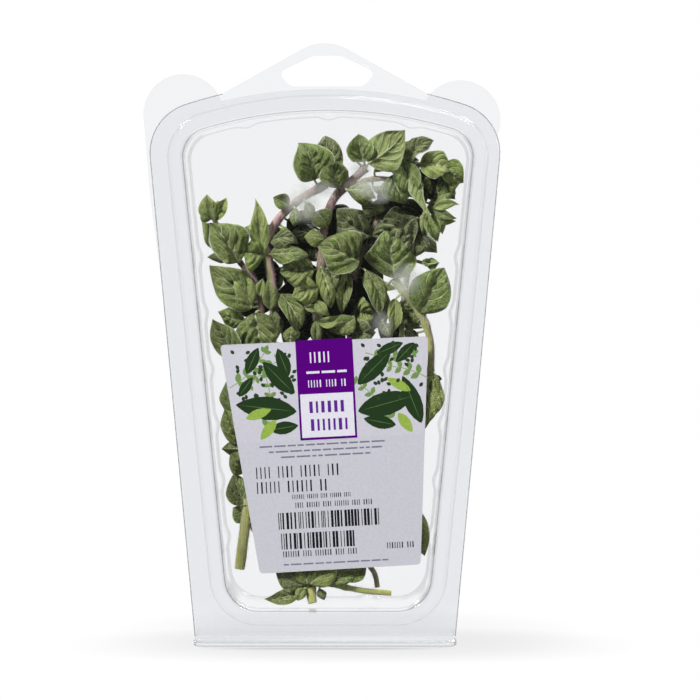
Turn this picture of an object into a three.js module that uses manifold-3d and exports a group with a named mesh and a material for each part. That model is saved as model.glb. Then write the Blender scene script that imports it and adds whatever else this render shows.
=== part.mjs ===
// A hinged clear clamshell pack of cut oregano sprigs, standing on its own foot.
// Millimetres, +Z up. The two halves meet in the plane y = 0, the lid faces -Y and the tray is behind.
// The origin is on the surface that the pack stands on, in the middle of the parting plane.
import * as THREE from "three";
import { mergeVertices } from "three/addons/utils/BufferGeometryUtils.js";
import Module from "manifold-3d";

// ---- Driving dimensions ----

const SHEET = 0.4; // wall of both formed halves
const PLAY = 0.3; // clearance between neighbouring pieces
const PAST = 1; // how far a cut runs past the faces it opens
const LEAN = 0.09; // how far each trimmed side leans out, per mm of height
const HALF_AT_FOOT = 43.75; // half width of the trimmed edge at the floor
const SHOULDER_RADIUS = 17; // trimmed top corners
const ARCH_RADIUS = 150; // gentle arch of every top edge
const LID_TOP = 187.9; // top of the lid's trimmed arch, without the hang tab
const TRAY_TOP = 185.5; // top of the tray's trimmed arch, under the hang hole

const FORM_SHIFT = 1; // the formed steps sit this far to the right of the trimmed edge
const RIM = { bottom: 5.8, top: 183.5, half: 37.8, lean: 0.0965, foot: 16.7, shoulder: 15 };
const RIM_HEIGHT = 3.55; // how far the lid's raised rim stands out of the lid's face
const RIM_WIDTH = 5.7; // rim, from its outer to its inner foot line
const RIM_DRAFT = 0.9; // run of each of the rim's sloping walls
const CAVITY_INSET = 5.55; // from the rim's outer foot line to where the tray's wall turns fluted
const CAVITY_START = 3.5; // depth where it does
const CAVITY_DEPTH = 23.55; // parting plane to the inside of the back
const CAVITY_TAPER = 0.65; // how far the fluted wall draws in over its depth
const BACK_BEVEL = 1.2; // soft edge round the tray's back
const FORM_REACH = 1; // the formed sheet runs this far past the rim's outer foot line
const FORM_LAP = 0.4; // and laps the flat flange by this much

const RIB_DEPTH = 1; // stiffening flutes in the tray's wall
const RIB_WIDTH = 9;
const SIDE_RIBS = [33.3, 52.6, 71.9, 91.1, 110.4, 129.7]; // heights of the side flutes
const TOP_RIBS = [28, 0]; // distances of the top flutes from the middle
const FOOT_RIB = 13.2; // distance of each bottom flute from the middle

const TOE = 10.7; // the foot's reach forward, on the lid
const HEEL = 22; // the foot's reach backward, on the tray
const FOOT_HEIGHT = 2.1;
const FOOT_HALF = 44;
const FOOT_CORNER = 5;
const CREASE = -1.2; // depth of the hinge crease, which runs along X at the floor
const CREASE_GAP = 0.15; // each half's underside stops this far from the crease

const TAB_HALF = 34.1; // hang tab: half width of its foot
const TAB_FOOT = 180; // height inside the lid's edge where the tab starts
const TAB_EDGE = 183.9; // height where its straight slopes start
const TAB_SHOULDER = [7.5, 198.7]; // where the straight slope ends and the round top starts
const TAB_TOP = 200.6;
const HOLE_SHIFT = 0.7;
const HOLE_BOTTOM = 186.3;
const HOLE_WAIST = 189.9;
const HOLE_TOP = 196.7;
const HOLE_HALVES = [12.3, 15.4, 4.6]; // half widths at bottom, waist and top
const HOLE_BLUNT = [0.4, 1.8]; // each waist corner is blunted by this step in and up

const EAR_RADIUS = 13.4; // pull tabs on the tray's top corners
const EARS = [[-47.1, 177], [45.1, 175]];
const EAR_STRIP = 1.1; // the tray's left edge stands out this far beside the lid's
const EAR_STRIP_RISE = [120, 150]; // heights where it starts and where it is full
const EAR_STRIP_ROOT = 40; // it is rooted in the flange at this distance from the middle

const LABEL_TOP_WIDTH = 68.5;
const LABEL_FOOT_WIDTH = 54.2;
const LABEL_HEIGHT = 77.8;
const LABEL_MIDDLE = [2.2, 63.5];
const LABEL_TILT = 3; // degrees, counter-clockwise seen from the front
const LABEL_CORNER = 1.5;
const LABEL_PAPER = 0.2;
const LABEL_GLUE = 0.1; // from the lid's face to the back of the paper

const LEAF_THICKNESS = 0.8; // along the midrib
const LEAF_STALK = 0.5; // half width of the stalk
const LEAF_DROOP = 0.12; // the margins hang back by this share of the half width
const LEAF_STATIONS = [0.15, 0.38, 0.62, 0.85]; // shares of the blade's length
const LEAF_HALVES = [0.66, 1, 0.88, 0.48]; // shares of the blade's half width there
const STEM_SIDES = 8;
const STEM_STEP = 6; // mm between the rings of a stem
const STEM_LEAST_STEPS = 8;
const STEM_SAMPLES = 8; // places tried for a leaf's seat between two rings

// How finely each round is divided.
const CORNER_STEPS = 6;
const SHOULDER_STEPS = 7;
const ARCH_STEPS = 4;
const TAB_STEPS = 8;
const EAR_STEPS = 36;
const LABEL_CORNER_STEPS = 4;
const ON_AXIS = 1e-6; // an outline point nearer the middle than this has no mirrored twin

// ---- The sprigs: stems as points along them, leaves as [base, tip, width, upper side, bow] ----

const SPRIGS = {
  left: {
    radii: [1.8, 1.15],
    stem: [[-29, 6, 24], [-26.3, 6.5, 46], [-23.7, 9, 68], [-20.3, 10, 88], [-17.3, 9, 108],
      [-17.7, 7.5, 118], [-19, 7, 127.7], [-19.7, 7, 133.3], [-17.7, 8, 139.3], [-14.3, 8.5, 144],
      [-9, 9, 148.7], [-2.3, 9, 152.7], [0.3, 9, 154.3]],
    leaves: [
      [[-3.7, 6, 156], [-8, 3, 168.3], 11.4, [0.1, -1, 0.2], 1],
      [[1.5, 8.5, 158], [0.3, 7, 170.7], 9, [0.1, -1, 0], 0.8],
      [[-20.7, 4.2, 132], [-22, 3, 148.3], 5.5, [0.2, 1, 0], 0.8],
      [[-21.5, 5, 129.5], [-27.8, 3.8, 131], 9.5, [0, -1, 0.1], 0.8],
      [[-17.5, 5, 134], [-8, 4.5, 134], 5, [0, -0.7, 0.8], 1.2],
      [[-17, 4.4, 130], [-5.5, 3, 128.6], 4.6, [0, -1, 0.5], 0.8],
      [[-15, 5.4, 115.5], [-7.5, 3.4, 103], 5.5, [0.4, -1, 0], 1.2],
      [[-22, 13, 91], [-29, 22.9, 101], 9, [-0.3, 1, -0.9], 1],
    ],
  },
  bud: {
    radii: [1.5, 0.8],
    stem: [[-21, 12, 32], [-25.7, 11, 52], [-28.3, 10, 72], [-27, 9.5, 92], [-22.3, 8, 106.7],
      [-21.9, 6, 113.3], [-23.9, 5.8, 121.7], [-27.3, 6.2, 126], [-31.7, 7.5, 132.3], [-36.3, 8.5, 140],
      [-38.5, 8.5, 144.5]],
    leaves: [
      [[-25, 3.6, 113], [-40, 2.4, 125], 10, [0.1, -1, 0.1], 0.6],
      [[-27, 6.5, 108], [-36, 5.6, 110], 9, [0, -1, 0], 0.6],
      [[-31.6, 6, 95], [-37.8, 3.8, 107.6], 7.2, [0, -1, 0], 0.6],
      [[-23.6, 3.2, 110.6], [-21, 1.8, 96.5], 13.5, [0, -1, -0.1], 0.6],
      [[-29, 4.4, 128], [-37.5, 3, 141.5], 10.5, [0, -1, 0.1], 0.8],
      [[-30.4, 7, 76], [-34.7, 5, 87.3], 7, [-0.2, -1, 0], 0.6],
      [[-30.4, 7.5, 67], [-33.6, 5, 76], 5.2, [-0.2, -1, 0], 0.6],
      [[-28, 7.5, 57], [-33, 6, 63], 5, [-0.2, -1, 0], 0.6],
    ],
  },
  middle: {
    radii: [1.6, 1.4],
    stem: [[-4.2, 3, 12.9], [-6.3, 5.2, 21], [-8.3, 9, 42], [-6.7, 11, 65], [-4.3, 12, 88],
      [-2.3, 11, 108], [-1.7, 9.5, 120], [-1.3, 8, 126.3], [-1, 9, 135], [0.7, 9, 144.3],
      [4, 9, 150.7], [9, 8.5, 155.3], [13.7, 8, 159.7]],
    leaves: [
      [[4.6, 6.4, 154], [-0.6, 4, 164.5], 7.5, [0.2, -1, 0.1], 0.8],
      [[12.3, 6, 162.3], [9, 5, 170.9], 7, [-0.2, -1, 0], 0.8],
      [[15, 5.2, 161.2], [27, 2.5, 171.3], 10.5, [-0.1, -1, 0.2], 1],
      [[8, 6, 152], [17.6, 4, 150.4], 8, [0, -1, 0.2], 0.8],
      [[-4, 5.6, 125.4], [-15, 4.8, 124], 10, [0, -1, 0.1], 0.8],
      [[-3, 4, 120], [-10.7, 2.2, 116.3], 6.5, [0, -1, 0], 0.6],
      [[-1, 4.4, 124.6], [2, 1.6, 113], 7, [0.2, -1, 0], 0.6],
      [[-9.2, 3.6, 21.6], [-16, 3, 24], 6, [0, -1, 0], 0.5],
      [[-4.6, 2.4, 23], [-2, 2, 32], 11, [0, -1, 0], 0.3],
    ],
  },
  branch: {
    radii: [1, 0.7],
    from: "middle",
    stem: [[10.5, 8.3, 154], [13.5, 8, 155.4], [18.3, 7.5, 156], [23.3, 7.5, 156],
      [26.3, 7.5, 159], [31, 8, 160.7], [35.7, 8.5, 160]],
    leaves: [
      [[17, 5.6, 158.2], [25, 4.6, 157.6], 4.6, [0, -0.5, 1], 0.4],
      [[27, 6, 161.6], [35.5, 5, 170], 6.5, [-0.5, -0.8, 0.5], 0.8],
      [[32.5, 6.3, 161.3], [43, 5.4, 159], 8.5, [0, -1, 0.4], 1],
      [[28.6, 5, 159.8], [32, 3.6, 144], 4.7, [0.8, -0.6, 0], 2.2],
      [[22.6, 5.6, 154], [26.2, 4.4, 146.6], 6.6, [0.1, -1, 0.2], 0.6],
    ],
  },
  right: {
    radii: [0.9, 1.35],
    stem: [[17.7, 6.6, 17.6], [16.8, 7, 22], [14.2, 6.8, 26.5], [14, 7, 31], [16, 8.5, 42],
      [22.3, 9, 62], [30, 8, 77], [34.7, 6, 87], [35.7, 4.8, 95], [35.3, 4.3, 101.7],
      [33.3, 4.2, 108.3], [29.7, 4.6, 114], [25.7, 5.6, 118.7], [23.3, 6, 122]],
    leaves: [
      [[23, 3.4, 125], [22.3, 1.8, 139], 14.2, [0, -1, 0.1], 0.6],
      [[24.2, 3.8, 115.5], [22.3, 2.6, 103.5], 5, [0, -1, 0], 0.5],
      [[31.5, 7, 107.5], [25.8, 8, 115.4], 8, [0.1, -1, 0], 0.5],
      [[33.6, 2.4, 111.6], [40.2, 1.8, 126], 10.6, [0, -1, 0], 0.5],
      [[36.2, 3.4, 91], [32.6, 2.8, 71], 8.6, [0.1, -1, 0], 0.5],
    ],
  },
  back: {
    radii: [1.3, 0.9],
    stem: [[-4.5, 12, 12.9], [-3.5, 13.5, 28], [6, 17, 58], [7.7, 17, 88], [9, 13, 115], [11, 9, 127.7],
      [15.7, 11, 136.7], [18.3, 13, 144.3]],
    leaves: [
      [[14.4, 8.6, 136.4], [5.3, 7, 145.5], 10, [-0.1, -1, 0.3], 0.8],
      [[10.2, 5.6, 128.4], [-2.7, 3.4, 135.3], 12, [0.1, -1, 0.3], 1],
      [[7.6, 8.6, 121.4], [7, 5, 110], 4.7, [0, -1, 0], 0.6],
      [[10.4, 9, 110.5], [17.4, 7, 111], 9, [0, -1, 0], 0.6],
      [[14.4, 6, 123], [18.6, 3.6, 109], 5.5, [0.5, -1, 0], 1.2],
      [[6, 19.4, 80], [-4, 22.9, 72], 9, [-0.1, 1, 0], 0.6],
    ],
  },
  far: {
    radii: [1.3, 0.8],
    stem: [[15.4, 9.3, 30.6], [22, 13.5, 55], [25, 14, 88], [26.7, 13, 115], [29.3, 11, 131.7],
      [32, 9.5, 141], [35, 9, 145.7], [37.7, 10, 151.7], [39.3, 10, 156]],
    leaves: [
      [[40.6, 8.4, 155.6], [44, 6.6, 150.5], 5, [0.3, -1, 0], 0.5],
      [[34.4, 6.8, 143.5], [37, 4.6, 135], 6.6, [0.3, -1, 0], 0.6],
      [[30, 7.2, 142], [14.6, 5.4, 134.6], 13, [-0.1, -0.9, 0.4], 1.6],
      [[31.6, 7.4, 137.6], [29, 5.4, 128.6], 8.6, [0.3, -1, -0.1], 0.6],
      [[24.4, 11, 43], [33, 8, 37], 8, [0, -1, 0], 0.6],
      [[27, 16.4, 90], [34, 22.9, 99], 9, [0.1, 1, 0], 0.6],
    ],
  },
  low: {
    radii: [1, 1],
    stem: [[22.3, 4.6, 16], [13.3, 4.3, 16.8], [5, 4.6, 18.4], [-3.2, 5.6, 20.3]],
    leaves: [
      [[7, 3.6, 21], [14.4, 3, 25], 4.4, [0, -1, 0], 0.4],
    ],
  },
};

// ---- Materials ----

const finish = (color, roughness) => new THREE.MeshStandardMaterial({ color, roughness, metalness: 0 });
const clearSheet = () => finish(0xe9eef0, 0.05);
const labelPaper = () => finish(0xcbc9d6, 0.55);
const leafGreen = () => finish(0x5e7a45, 0.75);
const stemPurple = () => finish(0x8a6f6c, 0.7);

// ---- Solids: lofts, plates, joins and cuts ----

const wasm = await Module();
wasm.setup();

function toSolid(geometry) {
  const bare = new THREE.BufferGeometry();
  bare.setAttribute("position", geometry.getAttribute("position"));
  bare.setIndex(geometry.index);
  const merged = mergeVertices(bare, 1e-4);
  return new wasm.Manifold(new wasm.Mesh({
    numProp: 3,
    vertProperties: merged.getAttribute("position").array,
    triVerts: new Uint32Array(merged.index.array),
  }));
}

function toGeometry(solid) {
  const mesh = solid.getMesh();
  const geometry = new THREE.BufferGeometry();
  geometry.setAttribute("position", new THREE.BufferAttribute(mesh.vertProperties, 3));
  geometry.setIndex(new THREE.BufferAttribute(mesh.triVerts, 1));
  geometry.computeVertexNormals();
  return geometry;
}

// A skin over rings of equal count, each counter-clockwise seen from the first ring's side,
// closed at both ends by fans to the two given points.
function loft(rings, startPoint, endPoint) {
  const count = rings[0].length;
  const points = [...rings.flat(), startPoint, endPoint];
  const start = points.length - 2;
  const last = (rings.length - 1) * count;
  const faces = [];
  for (let j = 0; j < count; j++) {
    const next = (j + 1) % count;
    for (let base = 0; base < last; base += count) {
      faces.push(base + j, base + count + j, base + next);
      faces.push(base + next, base + count + j, base + count + next);
    }
    faces.push(start, j, next);
    faces.push(start + 1, last + next, last + j);
  }
  const geometry = new THREE.BufferGeometry().setFromPoints(points);
  geometry.setIndex(faces);
  return geometry;
}

// A flat plate between two depths, from an outline drawn in X and Z.
function plate(shape, front, back) {
  const geometry = new THREE.ExtrudeGeometry(shape, { depth: back - front, bevelEnabled: false });
  geometry.rotateX(Math.PI / 2);
  geometry.translate(0, back, 0);
  return toSolid(geometry);
}

// A flat plate between two heights, from an outline drawn in X and Y.
function slab(shape, low, high) {
  const geometry = new THREE.ExtrudeGeometry(shape, { depth: high - low, bevelEnabled: false });
  geometry.translate(0, 0, low);
  return toSolid(geometry);
}

// ---- Outlines ----

function arcPoints(x, z, radius, from, to, steps) {
  const points = [];
  for (let k = 0; k <= steps; k++) {
    const angle = from + ((to - from) * k) / steps;
    points.push(new THREE.Vector2(x + radius * Math.cos(angle), z + radius * Math.sin(angle)));
  }
  return points;
}

// The right half of a pack outline: level foot, leaning side, round shoulder and arched top.
// `ribs` is how far the flutes push in; with none the straight runs have no points of their own.
function halfOutline(form, inset, ribs) {
  const lean = Math.atan(form.lean);
  const reach = form.half * Math.cos(lean) - inset;
  const sideAt = (z) => (reach + Math.sin(lean) * z) / Math.cos(lean);
  const bottom = form.bottom + inset;
  const arch = ARCH_RADIUS - inset;
  const archMiddle = form.top - ARCH_RADIUS;
  const swell = [0, 0.5, 1, 0.5, 0];
  const fluted = ribs !== undefined;

  const footRadius = form.foot - inset;
  const footZ = bottom + footRadius;
  const footX = sideAt(footZ) - footRadius / Math.cos(lean);

  const shoulder = form.shoulder - inset;
  const a = (reach - shoulder) / Math.cos(lean);
  const b = Math.tan(lean);
  const half = (a * b - archMiddle) / (1 + b * b);
  const rest = (a * a + archMiddle ** 2 - (arch - shoulder) ** 2) / (1 + b * b);
  const shoulderZ = -half + Math.sqrt(half * half - rest);
  const shoulderX = a + b * shoulderZ;
  const turn = Math.atan2(shoulderZ - archMiddle, shoulderX);

  const points = [];
  if (fluted) {
    swell.forEach((share, m) => {
      const x = FOOT_RIB + ((m - 2) * RIB_WIDTH) / 4;
      points.push(new THREE.Vector2(x, bottom + share * ribs));
    });
  }
  points.push(...arcPoints(footX, footZ, footRadius, -Math.PI / 2, -lean, CORNER_STEPS));
  if (fluted) {
    for (const height of SIDE_RIBS) {
      swell.forEach((share, m) => {
        const z = height + ((m - 2) * RIB_WIDTH) / 4;
        points.push(new THREE.Vector2(sideAt(z) - (share * ribs) / Math.cos(lean), z));
      });
    }
  }
  points.push(...arcPoints(shoulderX, shoulderZ, shoulder, -lean, turn, SHOULDER_STEPS));
  if (fluted) {
    for (const middle of TOP_RIBS) {
      swell.forEach((share, m) => {
        const x = middle + ((2 - m) * RIB_WIDTH) / 4;
        if (x < 0) return;
        const angle = Math.acos(x / arch);
        const radius = arch - share * ribs;
        points.push(new THREE.Vector2(radius * Math.cos(angle), archMiddle + radius * Math.sin(angle)));
      });
    }
  } else {
    points.push(...arcPoints(0, archMiddle, arch, turn, Math.PI / 2, ARCH_STEPS).slice(1));
  }
  return points;
}

// The left half that closes a right half, from the top down.
function mirrored(right) {
  return right.filter((p) => p.x > ON_AXIS).reverse().map((p) => new THREE.Vector2(-p.x, p.y));
}

// The whole outline, counter-clockwise seen from the front.
function packOutline(form, inset, shift, ribs) {
  const right = halfOutline(form, inset, ribs);
  return [...right, ...mirrored(right)].map((p) => new THREE.Vector2(p.x + shift, p.y));
}

// Half width of the trimmed edge at a height.
const edgeAt = (z) => HALF_AT_FOOT + LEAN * z;

// The trimmed edge is the rim's kind of outline, with a square foot that runs into the standing foot.
function trimmedEdge(top) {
  const form = { bottom: 0, top, half: HALF_AT_FOOT, lean: LEAN, foot: 1, shoulder: SHOULDER_RADIUS };
  const right = halfOutline(form, 0).filter((p) => p.y > SHOULDER_RADIUS);
  const foot = FOOT_HEIGHT - SHEET;
  right.unshift(new THREE.Vector2(edgeAt(foot), foot));
  return new THREE.Shape([...right, ...mirrored(right)]);
}

// ---- Formed sheet ----

// Moves a profile line of [inset, depth, fluted] stations sideways by the sheet's thickness.
// The sheet runs on flat past both ends of the line.
function behind(line) {
  return line.map(([inset, depth, fluted], k) => {
    const before = line[k - 1] ?? [inset + 1, depth];
    const after = line[k + 1] ?? [inset - 1, depth];
    const normals = [[before, line[k]], [line[k], after]]
      .map(([p, q]) => new THREE.Vector2(q[1] - p[1], p[0] - q[0]).normalize());
    const mitre = normals.reduce((sum, n) => sum.add(n), new THREE.Vector2()).normalize();
    const reach = SHEET / mitre.dot(normals[0]);
    return [inset + mitre.x * reach, depth + mitre.y * reach, fluted];
  });
}

// Turns the sheet's front line, listed from the middle outwards, into a closed formed sheet.
function formedSheet(line, ribs) {
  const ringOf = ([inset, depth, fluted]) => {
    const push = ribs ? (fluted ? RIB_DEPTH : 0) : undefined;
    return packOutline(RIM, inset, FORM_SHIFT, push).map((p) => new THREE.Vector3(p.x, depth, p.y));
  };
  const back = behind(line);
  const middle = new THREE.Vector3(FORM_SHIFT, 0, (RIM.bottom + RIM.top) / 2);
  const rings = [...back.map(ringOf), ...[...line].reverse().map(ringOf)];
  const backMiddle = middle.clone().setY(back[0][1]);
  const frontMiddle = middle.clone().setY(line[0][1]);
  return toSolid(loft(rings.reverse(), frontMiddle, backMiddle));
}

// The opening in each flat flange that its formed sheet fills.
const formWindow = () => new THREE.Shape(packOutline(RIM, FORM_LAP - FORM_REACH, FORM_SHIFT));

// One end of the standing foot: a shallow hollow step, open towards the parting plane.
// It reaches from the depth `mouth` to the depth `reach`, on either side of the plane.
function standingFoot(mouth, reach) {
  const side = Math.sign(reach);
  const outline = (inset, start) => {
    const x = FOOT_HALF - inset;
    const far = Math.abs(reach) - inset;
    const corner = FOOT_CORNER - inset;
    const points = [
      new THREE.Vector2(-x, start),
      new THREE.Vector2(x, start),
      ...arcPoints(x - corner, far - corner, corner, 0, Math.PI / 2, CORNER_STEPS),
      ...arcPoints(corner - x, far - corner, corner, Math.PI / 2, Math.PI, CORNER_STEPS),
    ];
    return new THREE.Shape(points.map((p) => new THREE.Vector2(side * p.x, side * p.y)));
  };
  const near = Math.abs(mouth);
  const hollow = slab(outline(SHEET, near - PAST), SHEET, FOOT_HEIGHT - SHEET);
  return slab(outline(0, near), 0, FOOT_HEIGHT).subtract(hollow);
}

// A box across the whole foot, between two depths and two heights.
function footStrip(front, back, low, high) {
  const corners = [[-FOOT_HALF, front], [FOOT_HALF, front], [FOOT_HALF, back], [-FOOT_HALF, back]];
  return slab(new THREE.Shape(corners.map(([x, y]) => new THREE.Vector2(x, y))), low, high);
}

// ---- Lid: face, raised rim, flange, hang tab and toe ----

function hangTab() {
  const [x, z] = TAB_SHOULDER;
  const rise = TAB_TOP - z;
  const radius = (x * x + rise * rise) / (2 * rise);
  const sweep = Math.asin(x / radius);
  const top = arcPoints(0, TAB_TOP - radius, radius, Math.PI / 2 - sweep, Math.PI / 2 + sweep, TAB_STEPS);
  return new THREE.Shape([
    new THREE.Vector2(-TAB_HALF, TAB_FOOT),
    new THREE.Vector2(TAB_HALF, TAB_FOOT),
    new THREE.Vector2(TAB_HALF, TAB_EDGE),
    ...top,
    new THREE.Vector2(-TAB_HALF, TAB_EDGE),
  ]);
}

function hangHole() {
  const [bottom, waist, top] = HOLE_HALVES;
  const [stepIn, stepUp] = HOLE_BLUNT;
  const corners = [[-bottom, HOLE_BOTTOM], [bottom, HOLE_BOTTOM], [waist, HOLE_WAIST],
    [waist - stepIn, HOLE_WAIST + stepUp], [top, HOLE_TOP], [-top, HOLE_TOP],
    [stepIn - waist, HOLE_WAIST + stepUp], [-waist, HOLE_WAIST]];
  return new THREE.Shape(corners.map(([x, z]) => new THREE.Vector2(x + HOLE_SHIFT, z)));
}

function lid() {
  const face = -SHEET;
  const crest = face - RIM_HEIGHT;
  const formed = formedSheet([
    [RIM_WIDTH, face],
    [RIM_WIDTH - RIM_DRAFT, crest],
    [RIM_DRAFT, crest],
    [0, face],
    [-FORM_REACH, face],
  ], false);
  return plate(trimmedEdge(LID_TOP), face, 0)
    .add(plate(hangTab(), face, 0))
    .subtract(plate(hangHole(), face - PAST, PAST))
    .subtract(plate(formWindow(), face - PAST, PAST))
    .add(formed)
    .add(standingFoot(0, -TOE)
      .subtract(footStrip(CREASE - CREASE_GAP, PAST, -PAST, SHEET + PLAY)));
}

// ---- Tray: fluted cavity, snap bead, flange, pull ears and heel ----

function tray() {
  const face = PLAY;
  const slope = RIM_DRAFT / RIM_HEIGHT;
  const clear = (SHEET + PLAY) / Math.cos(Math.atan(slope));
  const crest = face - RIM_HEIGHT;
  const foot = clear - slope * (face + SHEET);
  const formed = formedSheet([
    [CAVITY_INSET + CAVITY_TAPER + BACK_BEVEL, CAVITY_DEPTH, true],
    [CAVITY_INSET + CAVITY_TAPER, CAVITY_DEPTH - BACK_BEVEL, true],
    [CAVITY_INSET, CAVITY_START, true],
    [RIM_WIDTH - foot, face, false],
    [RIM_WIDTH - foot - RIM_DRAFT, crest, false],
    [foot + RIM_DRAFT, crest, false],
    [foot, face, false],
    [-FORM_REACH, face, false],
  ], true);
  let flange = plate(trimmedEdge(TRAY_TOP), face, face + SHEET);
  for (const [x, z] of EARS) {
    const ear = new THREE.Shape(arcPoints(x, z, EAR_RADIUS, 0, 2 * Math.PI, EAR_STEPS).slice(0, -1));
    flange = flange.add(plate(ear, face, face + SHEET));
  }
  const [leftEar] = EARS;
  const [start, full] = EAR_STRIP_RISE;
  const strip = new THREE.Shape([
    new THREE.Vector2(-edgeAt(start), start),
    new THREE.Vector2(-EAR_STRIP_ROOT, start),
    new THREE.Vector2(-EAR_STRIP_ROOT, leftEar[1]),
    new THREE.Vector2(leftEar[0] - EAR_RADIUS, leftEar[1]),
    new THREE.Vector2(-edgeAt(full) - EAR_STRIP, full),
  ]);
  return flange.add(plate(strip, face, face + SHEET))
    .subtract(plate(formWindow(), face - PAST, face + SHEET + PAST))
    .add(formed)
    .add(standingFoot(face, HEEL))
    .add(footStrip(CREASE + CREASE_GAP, face + PAST, 0, SHEET));
}

// ---- Label ----

function label() {
  const high = LABEL_HEIGHT / 2;
  const corners = [[-LABEL_FOOT_WIDTH / 2, -high], [LABEL_FOOT_WIDTH / 2, -high],
    [LABEL_TOP_WIDTH / 2, high], [-LABEL_TOP_WIDTH / 2, high]].map(([x, z]) => new THREE.Vector2(x, z));
  const points = corners.flatMap((corner, k) => {
    const before = corners[(k + 3) % 4].clone().sub(corner).setLength(LABEL_CORNER).add(corner);
    const after = corners[(k + 1) % 4].clone().sub(corner).setLength(LABEL_CORNER).add(corner);
    return new THREE.QuadraticBezierCurve(before, corner, after).getPoints(LABEL_CORNER_STEPS);
  });
  const tilt = THREE.MathUtils.degToRad(LABEL_TILT);
  const place = new THREE.Vector2(...LABEL_MIDDLE);
  const outline = points.map((p) => p.rotateAround(new THREE.Vector2(), tilt).add(place));
  const back = -SHEET - LABEL_GLUE;
  return plate(new THREE.Shape(outline), back - LABEL_PAPER, back);
}

// ---- Sprigs ----

const vector = (point) => new THREE.Vector3(...point);

// The nearest place on a stem's skin to a point, with the working clearance added.
function seatOn(stem, target) {
  let nearest = stem.samples[0];
  for (const sample of stem.samples) {
    if (sample.at.distanceTo(target) < nearest.at.distanceTo(target)) nearest = sample;
  }
  const away = target.clone().sub(nearest.at).normalize();
  return nearest.at.clone().addScaledVector(away, nearest.radius + PLAY);
}

// A stem is a tapering rod with a straight cut at each end.
function makeStem(points, [startRadius, endRadius]) {
  const curve = new THREE.CatmullRomCurve3(points);
  const steps = Math.max(STEM_LEAST_STEPS, Math.round(curve.getLength() / STEM_STEP));
  const frames = curve.computeFrenetFrames(steps);
  const radiusAt = (share) => startRadius + (endRadius - startRadius) * share;
  const rings = [];
  for (let k = 0; k <= steps; k++) {
    const middle = curve.getPointAt(k / steps);
    const ring = [];
    for (let j = 0; j < STEM_SIDES; j++) {
      const angle = (-2 * Math.PI * j) / STEM_SIDES;
      ring.push(middle.clone()
        .addScaledVector(frames.normals[k], radiusAt(k / steps) * Math.cos(angle))
        .addScaledVector(frames.binormals[k], radiusAt(k / steps) * Math.sin(angle)));
    }
    rings.push(ring);
  }
  const samples = [];
  const fine = steps * STEM_SAMPLES;
  for (let k = 0; k <= fine; k++) {
    samples.push({ at: curve.getPointAt(k / fine), radius: radiusAt(k / fine) });
  }
  return { geometry: loft(rings, curve.getPoint(0), curve.getPoint(1)), samples };
}

// A leaf is a thin bowed blade with a stalk that reaches its stem.
function makeLeaf(stem, [base, tip, width, upper, bow]) {
  const start = vector(base);
  const end = vector(tip);
  const up = vector(upper).normalize();
  const crown = start.clone().lerp(end, 0.5).addScaledVector(up, 2 * bow);
  const blade = new THREE.QuadraticBezierCurve3(start, crown, end);
  const seat = seatOn(stem, start);
  const stations = [
    { at: seat, along: start.clone().sub(seat).normalize(), half: LEAF_STALK },
    { at: start, along: blade.getTangent(0), half: LEAF_STALK },
    ...LEAF_STATIONS.map((share, k) => ({
      at: blade.getPoint(share),
      along: blade.getTangent(share),
      half: (LEAF_HALVES[k] * width) / 2,
    })),
  ];
  const rings = stations.map(({ at, along, half }) => {
    const side = along.clone().cross(up).normalize();
    const face = side.clone().cross(along).normalize();
    const droop = -LEAF_DROOP * half;
    const corner = (across, out) => at.clone().addScaledVector(side, across).addScaledVector(face, out);
    const rise = LEAF_THICKNESS / 2;
    return [corner(-half, droop), corner(0, -rise), corner(half, droop), corner(0, rise)];
  });
  return loft(rings, seat, end);
}

// ---- Assembly ----

const pack = new THREE.Group();

function addPiece(name, geometry, material) {
  const mesh = new THREE.Mesh(geometry, material);
  mesh.name = name;
  pack.add(mesh);
}

addPiece("back_shell", toGeometry(tray()), clearSheet());
addPiece("front_shell", toGeometry(lid()), clearSheet());
addPiece("label", toGeometry(label()), labelPaper());

const stems = {};
for (const [sprig, { from, stem, radii, leaves }] of Object.entries(SPRIGS)) {
  const points = stem.map(vector);
  if (from) points.unshift(seatOn(stems[from], points[0]));
  stems[sprig] = makeStem(points, radii);
  addPiece(`${sprig}_stem`, toGeometry(toSolid(stems[sprig].geometry)), stemPurple());
  leaves.forEach((leaf, k) => {
    addPiece(`${sprig}_leaf_${k + 1}`, toGeometry(toSolid(makeLeaf(stems[sprig], leaf))), leafGreen());
  });
}

export default pack;
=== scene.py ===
"""A hinged clear pack of cut oregano sprigs, standing on its own foot: how each piece looks.

The shapes below are drawn in millimetres, +Z up, with the lid towards -Y, and become metres in add_mesh().
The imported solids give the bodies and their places. A piece here stands for one of them, or is too small or
too thin to have one.
"""

import math
import random

import bpy
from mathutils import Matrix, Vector, noise
from mathutils.geometry import delaunay_2d_cdt


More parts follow.
